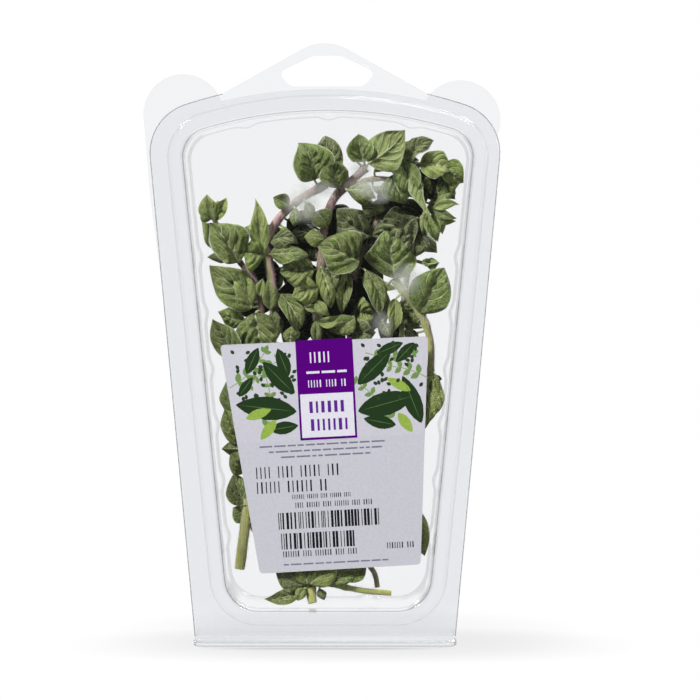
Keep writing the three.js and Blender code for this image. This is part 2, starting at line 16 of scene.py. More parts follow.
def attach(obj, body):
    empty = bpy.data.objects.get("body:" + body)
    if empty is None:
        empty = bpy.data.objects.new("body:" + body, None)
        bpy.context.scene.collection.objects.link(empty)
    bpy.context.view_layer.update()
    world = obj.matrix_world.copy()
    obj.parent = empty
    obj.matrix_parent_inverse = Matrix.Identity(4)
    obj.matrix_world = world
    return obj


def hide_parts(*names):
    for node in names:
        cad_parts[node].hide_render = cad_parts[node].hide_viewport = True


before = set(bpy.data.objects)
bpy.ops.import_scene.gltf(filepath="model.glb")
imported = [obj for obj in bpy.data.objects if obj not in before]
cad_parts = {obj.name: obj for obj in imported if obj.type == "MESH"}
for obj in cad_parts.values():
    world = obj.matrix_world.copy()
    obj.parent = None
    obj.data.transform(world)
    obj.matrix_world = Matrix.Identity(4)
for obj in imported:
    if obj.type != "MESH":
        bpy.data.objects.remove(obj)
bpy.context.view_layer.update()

# ---- Tray half ----
# Formed clear plastic sheet, 0.4 mm thick: a flat flange, a snap bead that enters the lid's rim, a deep
# cavity with fluted walls, two round pull ears and the rear half of the standing foot.
MM = 0.001


def add_mesh(name, points, faces, materials, slots=None, smooth=None):
    """A mesh object from points in millimetres. Edges up to `smooth` degrees shade round."""
    mesh = bpy.data.meshes.new(name)
    mesh.from_pydata([Vector(p) * MM for p in points], [], faces)
    for material in materials:
        mesh.materials.append(material)
    if slots:
        mesh.polygons.foreach_set("material_index", slots)
    if smooth is not None:
        mesh.shade_smooth()
        mesh.set_sharp_from_angle(angle=math.radians(smooth))
    piece = bpy.data.objects.new(name, mesh)
    bpy.context.scene.collection.objects.link(piece)
    return piece


def made_plain(piece):
    """Turns an object's modifiers into plain mesh, and takes them off."""
    shown = piece.evaluated_get(bpy.context.evaluated_depsgraph_get())
    mesh = bpy.data.meshes.new_from_object(shown)
    piece.modifiers.clear()
    piece.data = mesh
    return piece


def put(tree, kind, inputs=(), **settings):
    """A node with its settings, its inputs given as numbers or as the sockets that feed them."""
    made = tree.nodes.new(kind)
    for key, value in settings.items():
        setattr(made, key, value)
    for key, value in dict(inputs).items():
        if isinstance(value, bpy.types.NodeSocket):
            tree.links.new(value, made.inputs[key])
        else:
            made.inputs[key].default_value = value
    return made


def reckon(tree, operation, *values, clamp=False):
    """A Math node's result."""
    return put(tree, "ShaderNodeMath", enumerate(values), operation=operation, use_clamp=clamp).outputs[0]


def times(tree, a, b):
    return reckon(tree, "MULTIPLY", a, b)


def off_centre(tree, value, middle, reach):
    """How far a coordinate lies from a middle, as a share of `reach`."""
    return times(tree, reckon(tree, "SUBTRACT", value, middle), 1 / reach)


def ramp(tree, value, low, high, start=0.0, end=1.0):
    """Takes `value` from low..high to start..end."""
    inputs = {"Value": value, "From Min": low, "From Max": high, "To Min": start, "To Max": end}
    return put(tree, "ShaderNodeMapRange", inputs, interpolation_type="SMOOTHSTEP").outputs[0]


def speckle(tree, place, scale, detail=2.0):
    """A noise pattern, from 0 to 1."""
    return put(tree, "ShaderNodeTexNoise", {"Vector": place, "Scale": scale, "Detail": detail}).outputs["Fac"]


def new_finish(name):
    """An empty node material, as (the material, its node tree, the place on the piece)."""
    material = bpy.data.materials.new(name)
    material.use_nodes = True
    tree = material.node_tree
    tree.nodes.clear()
    return material, tree, put(tree, "ShaderNodeTexCoord").outputs["Object"]


def finish_with(tree, shader):
    put(tree, "ShaderNodeOutputMaterial", {"Surface": shader.outputs[0]})


def blend_colours(tree, factor, a, b, how="MIX"):
    return put(tree, "ShaderNodeMix", {0: factor, 6: a, 7: b}, data_type="RGBA", blend_type=how).outputs[2]


def paint(code):
    """A linear colour from a six-figure screen colour."""
    shares = [int(code[k:k + 2], 16) / 255 for k in (0, 2, 4)]
    return [s / 12.92 if s <= 0.04045 else ((s + 0.055) / 1.055) ** 2.4 for s in shares] + [1.0]


SHEET = 0.4
CUT_LINE = 0.28
PLAY = 0.3
ARCH = 150.0
FORM_SHIFT = 1.0
RIM = {"bottom": 5.8, "top": 183.5, "half": 37.8, "lean": 0.0965, "foot": 16.7, "shoulder": 15.0}
RIM_WIDTH, RIM_HEIGHT, RIM_DRAFT = 5.7, 3.55, 0.28
TRAY_EDGE = {"bottom": 0.0, "top": 185.5, "half": 43.75, "lean": 0.09, "foot": 1.0, "shoulder": 17.0}
FLUTE_WIDTH, FLUTE_DEPTH = 9.0, 1.0
SIDE_FLUTES = (33.3, 52.6, 71.9, 91.1, 110.4, 129.7)
TOP_FLUTES = (28.0, 0.0)
FOOT_FLUTES = (13.2,)
FOOT_HALF, FOOT_CORNER = 44.0, 5.0
EARS = ((-47.1, 177.0, 13.4), (45.1, 175.0, 13.4))
CAVITY_INSET = 5.2
FOOT_PARTS, CORNER_PARTS, SIDE_PARTS, TOP_PARTS, FOOT_CORNER_PARTS = 16, 12, 96, 28, 8
ROUND_STEPS, SUPPORT, MOST_CUT = 4, 0.15, 0.45
PER_ROUND = ROUND_STEPS + 3
WELD_GAP, EDGE_ROUND, EDGE_ANGLE, CREASE_ANGLE = 0.002, 0.19, 60, 38
FOOT_TOP = 3.0


def clear_sheet(name, passes, haze=()):
    """Clear PET. Light passes straight through, tinted by `passes`, and each face mirrors more of it at a
    flat view. `haze` lists fogged patches as (x, z, half width, half height, strength) in millimetres."""
    material, tree, place = new_finish(name)
    waves, grain = speckle(tree, place, 45.0, 1.0), speckle(tree, place, 900.0)
    normal = put(tree, "ShaderNodeBump", {"Strength": 1.0, "Distance": 0.0002, "Height": waves}).outputs[0]
    facing = put(tree, "ShaderNodeLayerWeight", {"Blend": 0.5}).outputs["Facing"]
    share = reckon(tree, "MULTIPLY_ADD", reckon(tree, "POWER", facing, 5.0), 0.5, 0.03)
    rough = ramp(tree, grain, 0.3, 0.7, 0.03, 0.07)
    mirror = put(tree, "ShaderNodeBsdfGlossy", {"Color": (1, 1, 1, 1), "Roughness": rough, "Normal": normal})
    body = put(tree, "ShaderNodeBsdfTransparent", {"Color": passes}).outputs[0]
    if haze:
        fog = None
        spot = put(tree, "ShaderNodeSeparateXYZ", {0: place}).outputs
        for x, z, wide, high, strength in haze:
            across = off_centre(tree, spot["X"], x * MM, wide * MM)
            up = off_centre(tree, spot["Z"], z * MM, high * MM)
            far = reckon(tree, "SQRT", reckon(tree, "ADD", reckon(tree, "POWER", across, 2.0),
                                              reckon(tree, "POWER", up, 2.0)))
            near = ramp(tree, far, 0.2, 1.0, strength, 0.0)
            fog = near if fog is None else reckon(tree, "MAXIMUM", fog, near)
        broken = speckle(tree, place, 130.0)
        drops = put(tree, "ShaderNodeTexVoronoi", {"Vector": place, "Scale": 1300.0}).outputs["Distance"]
        fog = times(tree, fog, ramp(tree, broken, 0.25, 0.65, 0.45, 1.0))
        fog = reckon(tree, "MULTIPLY", fog, ramp(tree, drops, 0.2, 0.7, 1.0, 0.88), clamp=True)
        film = put(tree, "ShaderNodeBsdfDiffuse", {"Color": paint("c4c7c1")}).outputs[0]
        glow = put(tree, "ShaderNodeBsdfTranslucent", {"Color": paint("d9dcd8")}).outputs[0]
        film = put(tree, "ShaderNodeMixShader", {0: 0.4, 1: film, 2: glow}).outputs[0]
        body = put(tree, "ShaderNodeMixShader", {0: fog, 1: body, 2: film}).outputs[0]
    finish_with(tree, put(tree, "ShaderNodeMixShader", {0: share, 1: body, 2: mirror.outputs[0]}))
    return material


def cut_edge():
    """The sheet's trimmed edge: a little frosted by the cut, and painted dark grey for a clear edge's shade.
    """
    material, tree, place = new_finish("cut_edge")
    grain = speckle(tree, place, 700.0)
    # Painted shade: dark grey for the dark line a clear edge shows, broken by the cut's frosting.
    colour = blend_colours(tree, grain, paint("565a5d"), paint("83888b"))
    solid = put(tree, "ShaderNodeBsdfPrincipled", {"Base Color": colour, "Roughness": 0.35})
    through = put(tree, "ShaderNodeBsdfTransparent", {"Color": (0.9, 0.9, 0.9, 1)})
    share = ramp(tree, grain, 0.3, 0.7, 0.25, 0.6)
    frosted = put(tree, "ShaderNodeMixShader", {0: share, 1: through.outputs[0], 2: solid.outputs[0]})
    finish_with(tree, frosted)
    return material


def arc(x, z, radius, start, end, steps):
    turns = [start + (end - start) * k / steps for k in range(steps + 1)]
    return [(x + radius * math.cos(t), z + radius * math.sin(t)) for t in turns]


def swell(distance):
    """How far a flute stands in, from 0 to 1, at a distance from its middle."""
    return 0.5 + 0.5 * math.cos(math.tau * distance / FLUTE_WIDTH) if abs(distance) < FLUTE_WIDTH / 2 else 0.0


def half_outline(form, inset, flute=0.0):
    """The right half of a pack outline, from the middle of the foot round to the middle of the top."""
    lean = math.atan(form["lean"])
    reach = form["half"] * math.cos(lean) - inset
    arch, arch_z = ARCH - inset, form["top"] - ARCH
    bottom = form["bottom"] + inset

    def side(z):
        return (reach + math.sin(lean) * z) / math.cos(lean)

    foot = form["foot"] - inset
    foot_z = bottom + foot
    foot_x = side(foot_z) - foot / math.cos(lean)
    shoulder = form["shoulder"] - inset
    a, b = (reach - shoulder) / math.cos(lean), math.tan(lean)
    half = (a * b - arch_z) / (1 + b * b)
    rest = (a * a + arch_z ** 2 - (arch - shoulder) ** 2) / (1 + b * b)
    shoulder_z = -half + math.sqrt(half * half - rest)
    shoulder_x = a + b * shoulder_z
    turn = math.atan2(shoulder_z - arch_z, shoulder_x)

    points = []
    for k in range(FOOT_PARTS):
        x = foot_x * k / FOOT_PARTS
        points.append((x, bottom + flute * max(swell(x - f) for f in FOOT_FLUTES)))
    points += arc(foot_x, foot_z, foot, -math.pi / 2, -lean, CORNER_PARTS)
    low, high = points[-1][1], shoulder_z - shoulder * math.sin(lean)
    for k in range(1, SIDE_PARTS):
        z = low + (high - low) * k / SIDE_PARTS
        points.append((side(z) - flute * max(swell(z - f) for f in SIDE_FLUTES) / math.cos(lean), z))
    points += arc(shoulder_x, shoulder_z, shoulder, -lean, turn, CORNER_PARTS)
    for k in range(1, TOP_PARTS + 1):
        angle = turn + (math.pi / 2 - turn) * k / TOP_PARTS
        radius = arch - flute * max(swell(arch * math.cos(angle) - f) for f in TOP_FLUTES)
        points.append((radius * math.cos(angle), arch_z + radius * math.sin(angle)))
    return points


def whole_outline(right, shift=0.0):
    """Closes a right half with its mirror image, counter-clockwise seen from the front."""
    left = [(-x, z) for x, z in reversed(right) if x > 1e-6]
    return [(x + shift, z) for x, z in right + left]


def softened(line, radii):
    """Rounds the corners of a profile of (inset, depth, flute) stations, each corner as PER_ROUND stations:
    one just before the round, the round itself, and one just past it."""
    soft = [line[0]]
    for before, corner, after, radius in zip(line, line[1:], line[2:], radii):
        at = Vector(corner)
        back, on = Vector(before) - at, Vector(after) - at
        angle = back.xy.angle(on.xy)
        cut = min(radius / math.tan(angle / 2), MOST_CUT * back.xy.length, MOST_CUT * on.xy.length)
        start, end = at + back * (cut / back.xy.length), at + on * (cut / on.xy.length)
        soft.append(tuple(at + back * min((cut + SUPPORT) / back.xy.length, 0.5)))
        for k in range(ROUND_STEPS + 1):
            t = k / ROUND_STEPS
            soft.append(tuple(start * (1 - t) ** 2 + at * 2 * t * (1 - t) + end * t * t))
        soft.append(tuple(at + on * min((cut + SUPPORT) / on.xy.length, 0.5)))
    return soft + [line[-1]]


def formed_sheet(name, line, bends, edge, plates, holes, face, foot_rings, foot_bends, foot_reach, material):
    """One half of the pack: the formed middle, drawn thin, the rim and flat flange round it, which kept their
    full thickness, and the hollow foot. `line` is the profile from the middle outwards, and `foot_rings` the
    foot's stations as (inset, z, mouth). `bends` and `foot_bends` give the material slots of the tight bends,
    whose grey tint is painted shade for the dark fine lines a clear sheet shows there."""
    points, faces = [], []

    def ring(flat, depth):
        points.extend((x, depth, z) for x, z in flat)
        return range(len(points) - len(flat), len(points))

    rings = [ring(whole_outline(half_outline(RIM, i, flute), FORM_SHIFT), d) for i, d, flute in line]
    faces.append(list(rings[0]))
    for inner, outer in zip(rings, rings[1:]):
        for j in range(len(inner)):
            k = (j + 1) % len(inner)
            faces.append([inner[j], outer[j], outer[k], inner[k]])

    count = len(rings[0])
    kinds = []
    for k, ((inset, depth, _), (inset_out, depth_out, _)) in enumerate(zip(line, line[1:])):
        wall = abs(depth_out - depth) > 2 * abs(inset_out - inset)
        kind = 0 if wall or inset > CAVITY_INSET else 1
        on_round = 1 <= (k - 1) % PER_ROUND <= ROUND_STEPS
        kinds.append(bends.get((k - 1) // PER_ROUND, kind) if on_round else kind)
    slots = [0] + [kind for kind in kinds for _ in range(count)]
    window = [(points[k][0], points[k][2]) for k in rings[-1]]
    corner = FOOT_HALF - foot_rings[0][0]
    level = foot_rings[0][1]

    def flange_outline(inset, *start):
        upper = [p for p in half_outline(edge, inset) if p[1] > edge["shoulder"]]
        return whole_outline([*start, (edge["half"] + edge["lean"] * level - inset, level)] + upper)

    wanted = [flange_outline(0.0, (corner, level))] + plates
    outlines = wanted + [window] + holes + [flange_outline(CUT_LINE)]
    flat = [Vector(p) for outline in outlines for p in outline]
    loops, first = [], 0
    for outline in outlines:
        loops.append(list(range(first, first + len(outline))))
        first += len(outline)
    spots, _, tiles, _, _, owners = delaunay_2d_cdt(flat, [], loops, 1, 1e-6, True)
    flange = ring([tuple(p) for p in spots], face)
    for tile, owner in zip(tiles, owners):
        parts = set(owner) - {len(outlines) - 1}
        if parts and max(parts) < len(wanted):
            faces.append([flange[k] for k in tile])
            # On the lid, the strip outside the cut line takes the cut edge's finish, painted shade for its
            # outline.
            slots.append(2 if owner == [0] and foot_reach < 0 else 1)

    side = math.copysign(1, foot_reach)
    rows = []
    for inset, z, mouth in foot_rings:
        reach = abs(foot_reach) - inset
        radius = max(FOOT_CORNER - inset, 0.5)
        x, y = FOOT_HALF - inset - radius, reach - radius
        path = arc(x, y, radius, 0, math.pi / 2, FOOT_CORNER_PARTS)
        path += arc(-x, y, radius, math.pi / 2, math.pi, FOOT_CORNER_PARTS)
        path = [(FOOT_HALF - inset, side * mouth)] + path + [(inset - FOOT_HALF, side * mouth)]
        points.extend((px, side * py, z) for px, py in path)
        rows.append(range(len(points) - len(path), len(points)))
    faces.append(list(rows[0])[::-1])
    slots.append(0)
    for k, (upper_row, lower_row) in enumerate(zip(rows, rows[1:])):
        for j in range(len(upper_row) - 1):
            faces.append([upper_row[j], upper_row[j + 1], lower_row[j + 1], lower_row[j]])
            slots.append(foot_bends.get(k, 0))
    faces.append(list(rows[-1]))
    slots.append(0)
    piece = add_mesh(name, points, faces, [material, flat_sheet, trimmed, bend, faint_bend], slots)
    weld = piece.modifiers.new("weld", "WELD")
    weld.merge_threshold = WELD_GAP * MM
    wall = piece.modifiers.new("wall", "SOLIDIFY")
    wall.thickness = SHEET * MM
    wall.offset = -1
    wall.use_even_offset = True
    wall.material_offset_rim = 1
    dull = piece.modifiers.new("dull", "BEVEL")
    dull.width = EDGE_ROUND * MM
    dull.segments = 2
    dull.limit_method = "ANGLE"
    dull.angle_limit = math.radians(EDGE_ANGLE)
    dull.material = 2
    made_plain(piece)
    for tile in piece.data.polygons:
        if tile.material_index == 2 and tile.center.z < FOOT_TOP * MM:
            tile.material_index = 0
    piece.data.shade_smooth()
    piece.data.set_sharp_from_angle(angle=math.radians(CREASE_ANGLE))
    return piece


def tray_profile():
    slope = RIM_DRAFT / RIM_HEIGHT
    clear = (SHEET + PLAY) / math.cos(math.atan(slope))
    crest = PLAY - RIM_HEIGHT
    start = clear - slope * (PLAY + SHEET)
    line = [(8.5, 23.55, FLUTE_DEPTH), (5.9, 23.55, FLUTE_DEPTH), (5.5, 20, FLUTE_DEPTH),
            (5.13, 3.5, FLUTE_DEPTH), (RIM_WIDTH - start, PLAY, 0), (RIM_WIDTH - start - RIM_DRAFT, crest, 0),
            (start + RIM_DRAFT, crest, 0), (start, PLAY, 0), (-1, PLAY, 0)]
    return softened(line, (0.4, 1.0, 2.0, 0.4, 0.3, 0.3, 0.3))


def edge_at(z):
    return TRAY_EDGE["half"] + TRAY_EDGE["lean"] * z


ear_strip = [(-edge_at(120), 120), (-40, 120), (-40, 177), (-60.5, 177), (-edge_at(150) - 1.1, 150)]
clear = clear_sheet("clear_pet", (0.992, 0.994, 0.997, 1))
flat_sheet = clear_sheet("flat_pet", (0.970, 0.974, 0.981, 1))
# Painted shade: the bend sheets pass less light, a grey tint for the dark lines where clear sheet bends.
bend = clear_sheet("bend_shade_pet", (0.66, 0.67, 0.68, 1))
faint_bend = clear_sheet("faint_bend_shade_pet", (0.90, 0.90, 0.91, 1))
trimmed = cut_edge()
tray = formed_sheet(
    "tray_sheet", tray_profile(), {0: 4, 1: 4}, TRAY_EDGE,
    [arc(x, z, r, 0, math.tau * 63 / 64, 63) for x, z, r in EARS] + [ear_strip], [], PLAY,
    [(0.75, 1.7, 0.3), (0.5, 1.6, 0.3), (0.4, 1.35, 0.3), (0.4, 0.75, 0.0), (0.5, 0.5, -0.6),
     (0.75, 0.4, -1.05)],
    {}, 22.0, clear)
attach(tray, "tray")
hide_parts("back_shell")


# ---- Leaf and stem finishes, and how a leaf and a stem are shaped ----
# Oregano leaves are thin, ovate and downy, puckered between curved side veins, with a paler matt underside
# where the veins are raised. Stems are square, downy and swollen at each leaf pair, and green to purple.
# The shade and deep looks are painted shade: near-black greens for leaves in shadow deep in the bunch.
LOOKS = {
    "bright": (paint("769205"), 0.75),
    "fresh": (paint("5d7b08"), 0.85),
    "mid": (paint("617812"), 0.9),
    "dark": (paint("36480c"), 0.75),
    "shade": (paint("1c2a08"), 0.8),
    "deep": (paint("0b1006"), 0.3),
    "pale": (paint("96a74c"), 0.9),
}
SIDE_VEINS, VEIN_BEND, VEIN_LAG, LAG_FALL = 4.6, 1.2, 0.62, 0.2


def leaf_finish(name, under):
    """Vein paths come from the blade's own UV map: U along the midrib, V across it."""
    material, tree, place = new_finish(name)
    blade_map = put(tree, "ShaderNodeUVMap", uv_map="blade").outputs[0]
    blade_map = put(tree, "ShaderNodeSeparateXYZ", {0: blade_map}).outputs
    tint = put(tree, "ShaderNodeAttribute", attribute_name="tint")
    across = reckon(tree, "ABSOLUTE", reckon(tree, "MULTIPLY_ADD", blade_map["Y"], 2.0, -1.0))
    along = blade_map["X"]
    lag = reckon(tree, "MULTIPLY_ADD", along, -LAG_FALL, VEIN_LAG)
    lag = times(tree, reckon(tree, "POWER", across, VEIN_BEND), lag)
    from_rib = reckon(tree, "SUBTRACT", along, lag)
    stray = speckle(tree, place, 210.0, 1.0)
    count = reckon(tree, "MULTIPLY_ADD", from_rib, SIDE_VEINS,
                   reckon(tree, "MULTIPLY_ADD", stray, 0.8, -0.4))
    off = reckon(tree, "FRACT", reckon(tree, "ADD", count, 0.5))
    off = reckon(tree, "ABSOLUTE", reckon(tree, "SUBTRACT", off, 0.5))
    reach = ramp(tree, across, 0.55, 0.97, 1.0, 0.15)
    tip = times(tree, ramp(tree, from_rib, 0.62, 0.8, 1.0, 0.0), ramp(tree, from_rib, 0.0, 0.05))
    side_vein = times(tree, ramp(tree, off, 0.025, 0.13, 1.0, 0.0), times(tree, reach, tip))
    rib_width = ramp(tree, along, 0.0, 1.0, 0.10, 0.03)
    rib = ramp(tree, reckon(tree, "DIVIDE", across, rib_width), 0.35, 1.0, 1.0, 0.0)
    veins = reckon(tree, "MAXIMUM", side_vein, rib)
    cells = put(tree, "ShaderNodeTexVoronoi", {"Vector": place, "Scale": 1500.0}, feature="DISTANCE_TO_EDGE")
    folds = put(tree, "ShaderNodeTexVoronoi", {"Vector": place, "Scale": 620.0}, feature="DISTANCE_TO_EDGE")
    net = reckon(tree, "MAXIMUM", ramp(tree, cells.outputs["Distance"], 0.0, 0.16, 0.8, 0.0),
                 ramp(tree, folds.outputs["Distance"], 0.0, 0.12, 1.0, 0.0))
    mottle, down = speckle(tree, place, 380.0, 3.0), speckle(tree, place, 3200.0, 1.0)
    edge = ramp(tree, across, 0.94, 0.99)
    # Leaves painted as deep shade (low vein strength) show almost no veins, bloom or shine.
    shown = ramp(tree, tint.outputs["Alpha"], 0.3, 0.5, 0.12, 1.0)

    base = tint.outputs["Color"]
    if under:
        base = blend_colours(tree, 0.62, base, paint("9fae7c"))
    shaded = blend_colours(tree, ramp(tree, mottle, 0.3, 0.7, 0.0, 0.6), base, paint("4c5a22"), "SOFT_LIGHT")
    bloom = times(tree, ramp(tree, mottle, 0.4, 0.68, 0.0, 0.28), shown)
    shaded = blend_colours(tree, bloom, shaded, paint("9eb062"))
    light = blend_colours(tree, 0.8, base, paint("d6dfa8"))
    strength = times(tree, veins, tint.outputs["Alpha"])
    strength = reckon(tree, "MAXIMUM", strength, times(tree, net, times(tree, shown, 0.42)))
    # Painted shade: darker beside the side veins, along the midrib and towards the base.
    painted_crease_shade = times(tree, ramp(tree, off, 0.06, 0.3, 0.85, 0.0), ramp(tree, across, 0.1, 0.9, 1.0, 0.3))
    painted_crease_shade = reckon(tree, "MAXIMUM", painted_crease_shade, ramp(tree, across, 0.05, 0.3, 0.55, 0.0))
    painted_crease_shade = reckon(tree, "MAXIMUM", painted_crease_shade, ramp(tree, along, 0.0, 0.35, 0.5, 0.0))
    shaded = blend_colours(tree, painted_crease_shade, shaded, paint("2c3a10"), "MULTIPLY")
    colour = blend_colours(tree, strength, shaded, light)
    fuzz = times(tree, ramp(tree, down, 0.5, 0.72, 0.0, 0.22), shown)
    colour = blend_colours(tree, fuzz, colour, paint("ccd49a"))
    # A pale rim at the margin: partly its real pale hairs, partly a painted highlight where they catch light.
    pale_hem_and_highlight = times(tree, edge, times(tree, shown, 0.85))
    colour = blend_colours(tree, pale_hem_and_highlight, colour, paint("d6ddc2"))

    height = times(tree, net, 0.7 if under else -0.9)
    height = reckon(tree, "MULTIPLY_ADD", veins, 0.8 if under else -0.8, height)
    height = reckon(tree, "MULTIPLY_ADD", down, 0.5, height)
    normal = put(tree, "ShaderNodeBump", {"Strength": 0.9, "Distance": 0.0003, "Height": height}).outputs[0]
    skin = put(tree, "ShaderNodeBsdfPrincipled", {
        "Base Color": colour, "Roughness": 0.6 if under else 0.48,
        "Specular IOR Level": times(tree, shown, 0.42), "Specular Tint": paint("e2eab8"),
        "Sheen Weight": times(tree, shown, 0.18), "Sheen Roughness": 0.35,
        "Sheen Tint": paint("e6edc8"), "Normal": normal})
    lit_through = blend_colours(tree, 0.4, colour, paint("86a52e"))
    glow = put(tree, "ShaderNodeBsdfTranslucent", {"Color": lit_through, "Normal": normal})
    finish_with(tree, put(tree, "ShaderNodeMixShader", {0: 0.2, 1: skin.outputs[0], 2: glow.outputs[0]}))
    return material


def stem_finish():
    material, tree, place = new_finish("stem_skin")
    long = put(tree, "ShaderNodeMapping", {"Vector": place, "Scale": (1.0, 1.0, 0.12)}).outputs[0]
    streaks, blotch = speckle(tree, long, 2600.0), speckle(tree, place, 300.0)
    tint = put(tree, "ShaderNodeAttribute", attribute_name="tint").outputs["Color"]
    colour = blend_colours(tree, ramp(tree, streaks, 0.35, 0.7, 0.0, 0.45), tint, paint("c9b9a8"))
    patchy = ramp(tree, blotch, 0.35, 0.7, 0.0, 0.3)
    colour = blend_colours(tree, patchy, colour, paint("6f4a44"), "SOFT_LIGHT")
    normal = put(tree, "ShaderNodeBump", {"Strength": 0.8, "Distance": 0.0001, "Height": streaks}).outputs[0]
    finish_with(tree, put(tree, "ShaderNodeBsdfPrincipled", {
        "Base Color": colour, "Roughness": 0.55, "Specular IOR Level": 0.35, "Sheen Weight": 0.3,
        "Sheen Roughness": 0.5, "Normal": normal}))
    return material


def hair_finish():
    material, tree, place = new_finish("stem_hair")
    colour = blend_colours(tree, speckle(tree, place, 400.0), paint("d8cfc9"), paint("efeceb"))
    finish_with(tree, put(tree, "ShaderNodeBsdfPrincipled", {"Base Color": colour, "Roughness": 0.5}))
    return material


upper_side, under_side = leaf_finish("leaf_upper", False), leaf_finish("leaf_under", True)
stem_skin, stem_hair = stem_finish(), hair_finish()
STEM_STEPS = 10
CUT_END = paint("b9c48a")
STEM_SIDES, NODE_SWELL, NODE_REACH, SQUARENESS, WOBBLE = 16, 0.22, 1.2, 0.07, 0.05


def stem_line(points):
    """A smooth line through the points (centripetal Catmull-Rom), in STEM_STEPS steps for each span."""
    ends = [points[0] * 2 - points[1]] + points + [points[-1] * 2 - points[-2]]
    line = []
    for p0, p1, p2, p3 in zip(ends, ends[1:], ends[2:], ends[3:]):
        d0, d1, d2 = (math.sqrt(max((b - a).length, 1e-6)) for a, b in ((p0, p1), (p1, p2), (p2, p3)))
        out = ((p1 - p0) / d0 - (p2 - p0) / (d0 + d1) + (p2 - p1) / d1) * d1
        into = ((p2 - p1) / d1 - (p3 - p1) / (d1 + d2) + (p3 - p2) / d2) * d1
        for k in range(STEM_STEPS):
            t = k / STEM_STEPS
            line.append(p1 + out * t + (p2 * 3 - p1 * 3 - out * 2 - into) * t ** 2
                        + (p1 * 2 - p2 * 2 + out + into) * t ** 3)
    return line + [points[-1]]


NEAREST, DEEPEST, PRESS = 0.45, 23.3, 0.5
EDGE_THICK, RIB_THICK = 0.10, 0.08
WIDEST_AT, TIP_SHARP = 0.76, 0.25
NECK_HALF, TIP_HALF = 0.36, 0.04
BULGE, WAVE, GROOVE, GROOVE_WIDTH, RIPPLE = 0.08, 0.025, 0.07, 0.13, 0.14
CURL_FROM, CURL_GAIN = 0.55, 2.2
STALK_SIDES, RIB_STEPS = 6, 11


def pressed(y):
    """A depth kept off the lid and the tray's back: leaves that touch one of them lie flat against it."""
    if y < NEAREST + PRESS:
        return NEAREST + PRESS * math.exp((y - NEAREST - PRESS) / PRESS)
    if y > DEEPEST - PRESS:
        return DEEPEST - PRESS * math.exp((DEEPEST - PRESS - y) / PRESS)
    return y


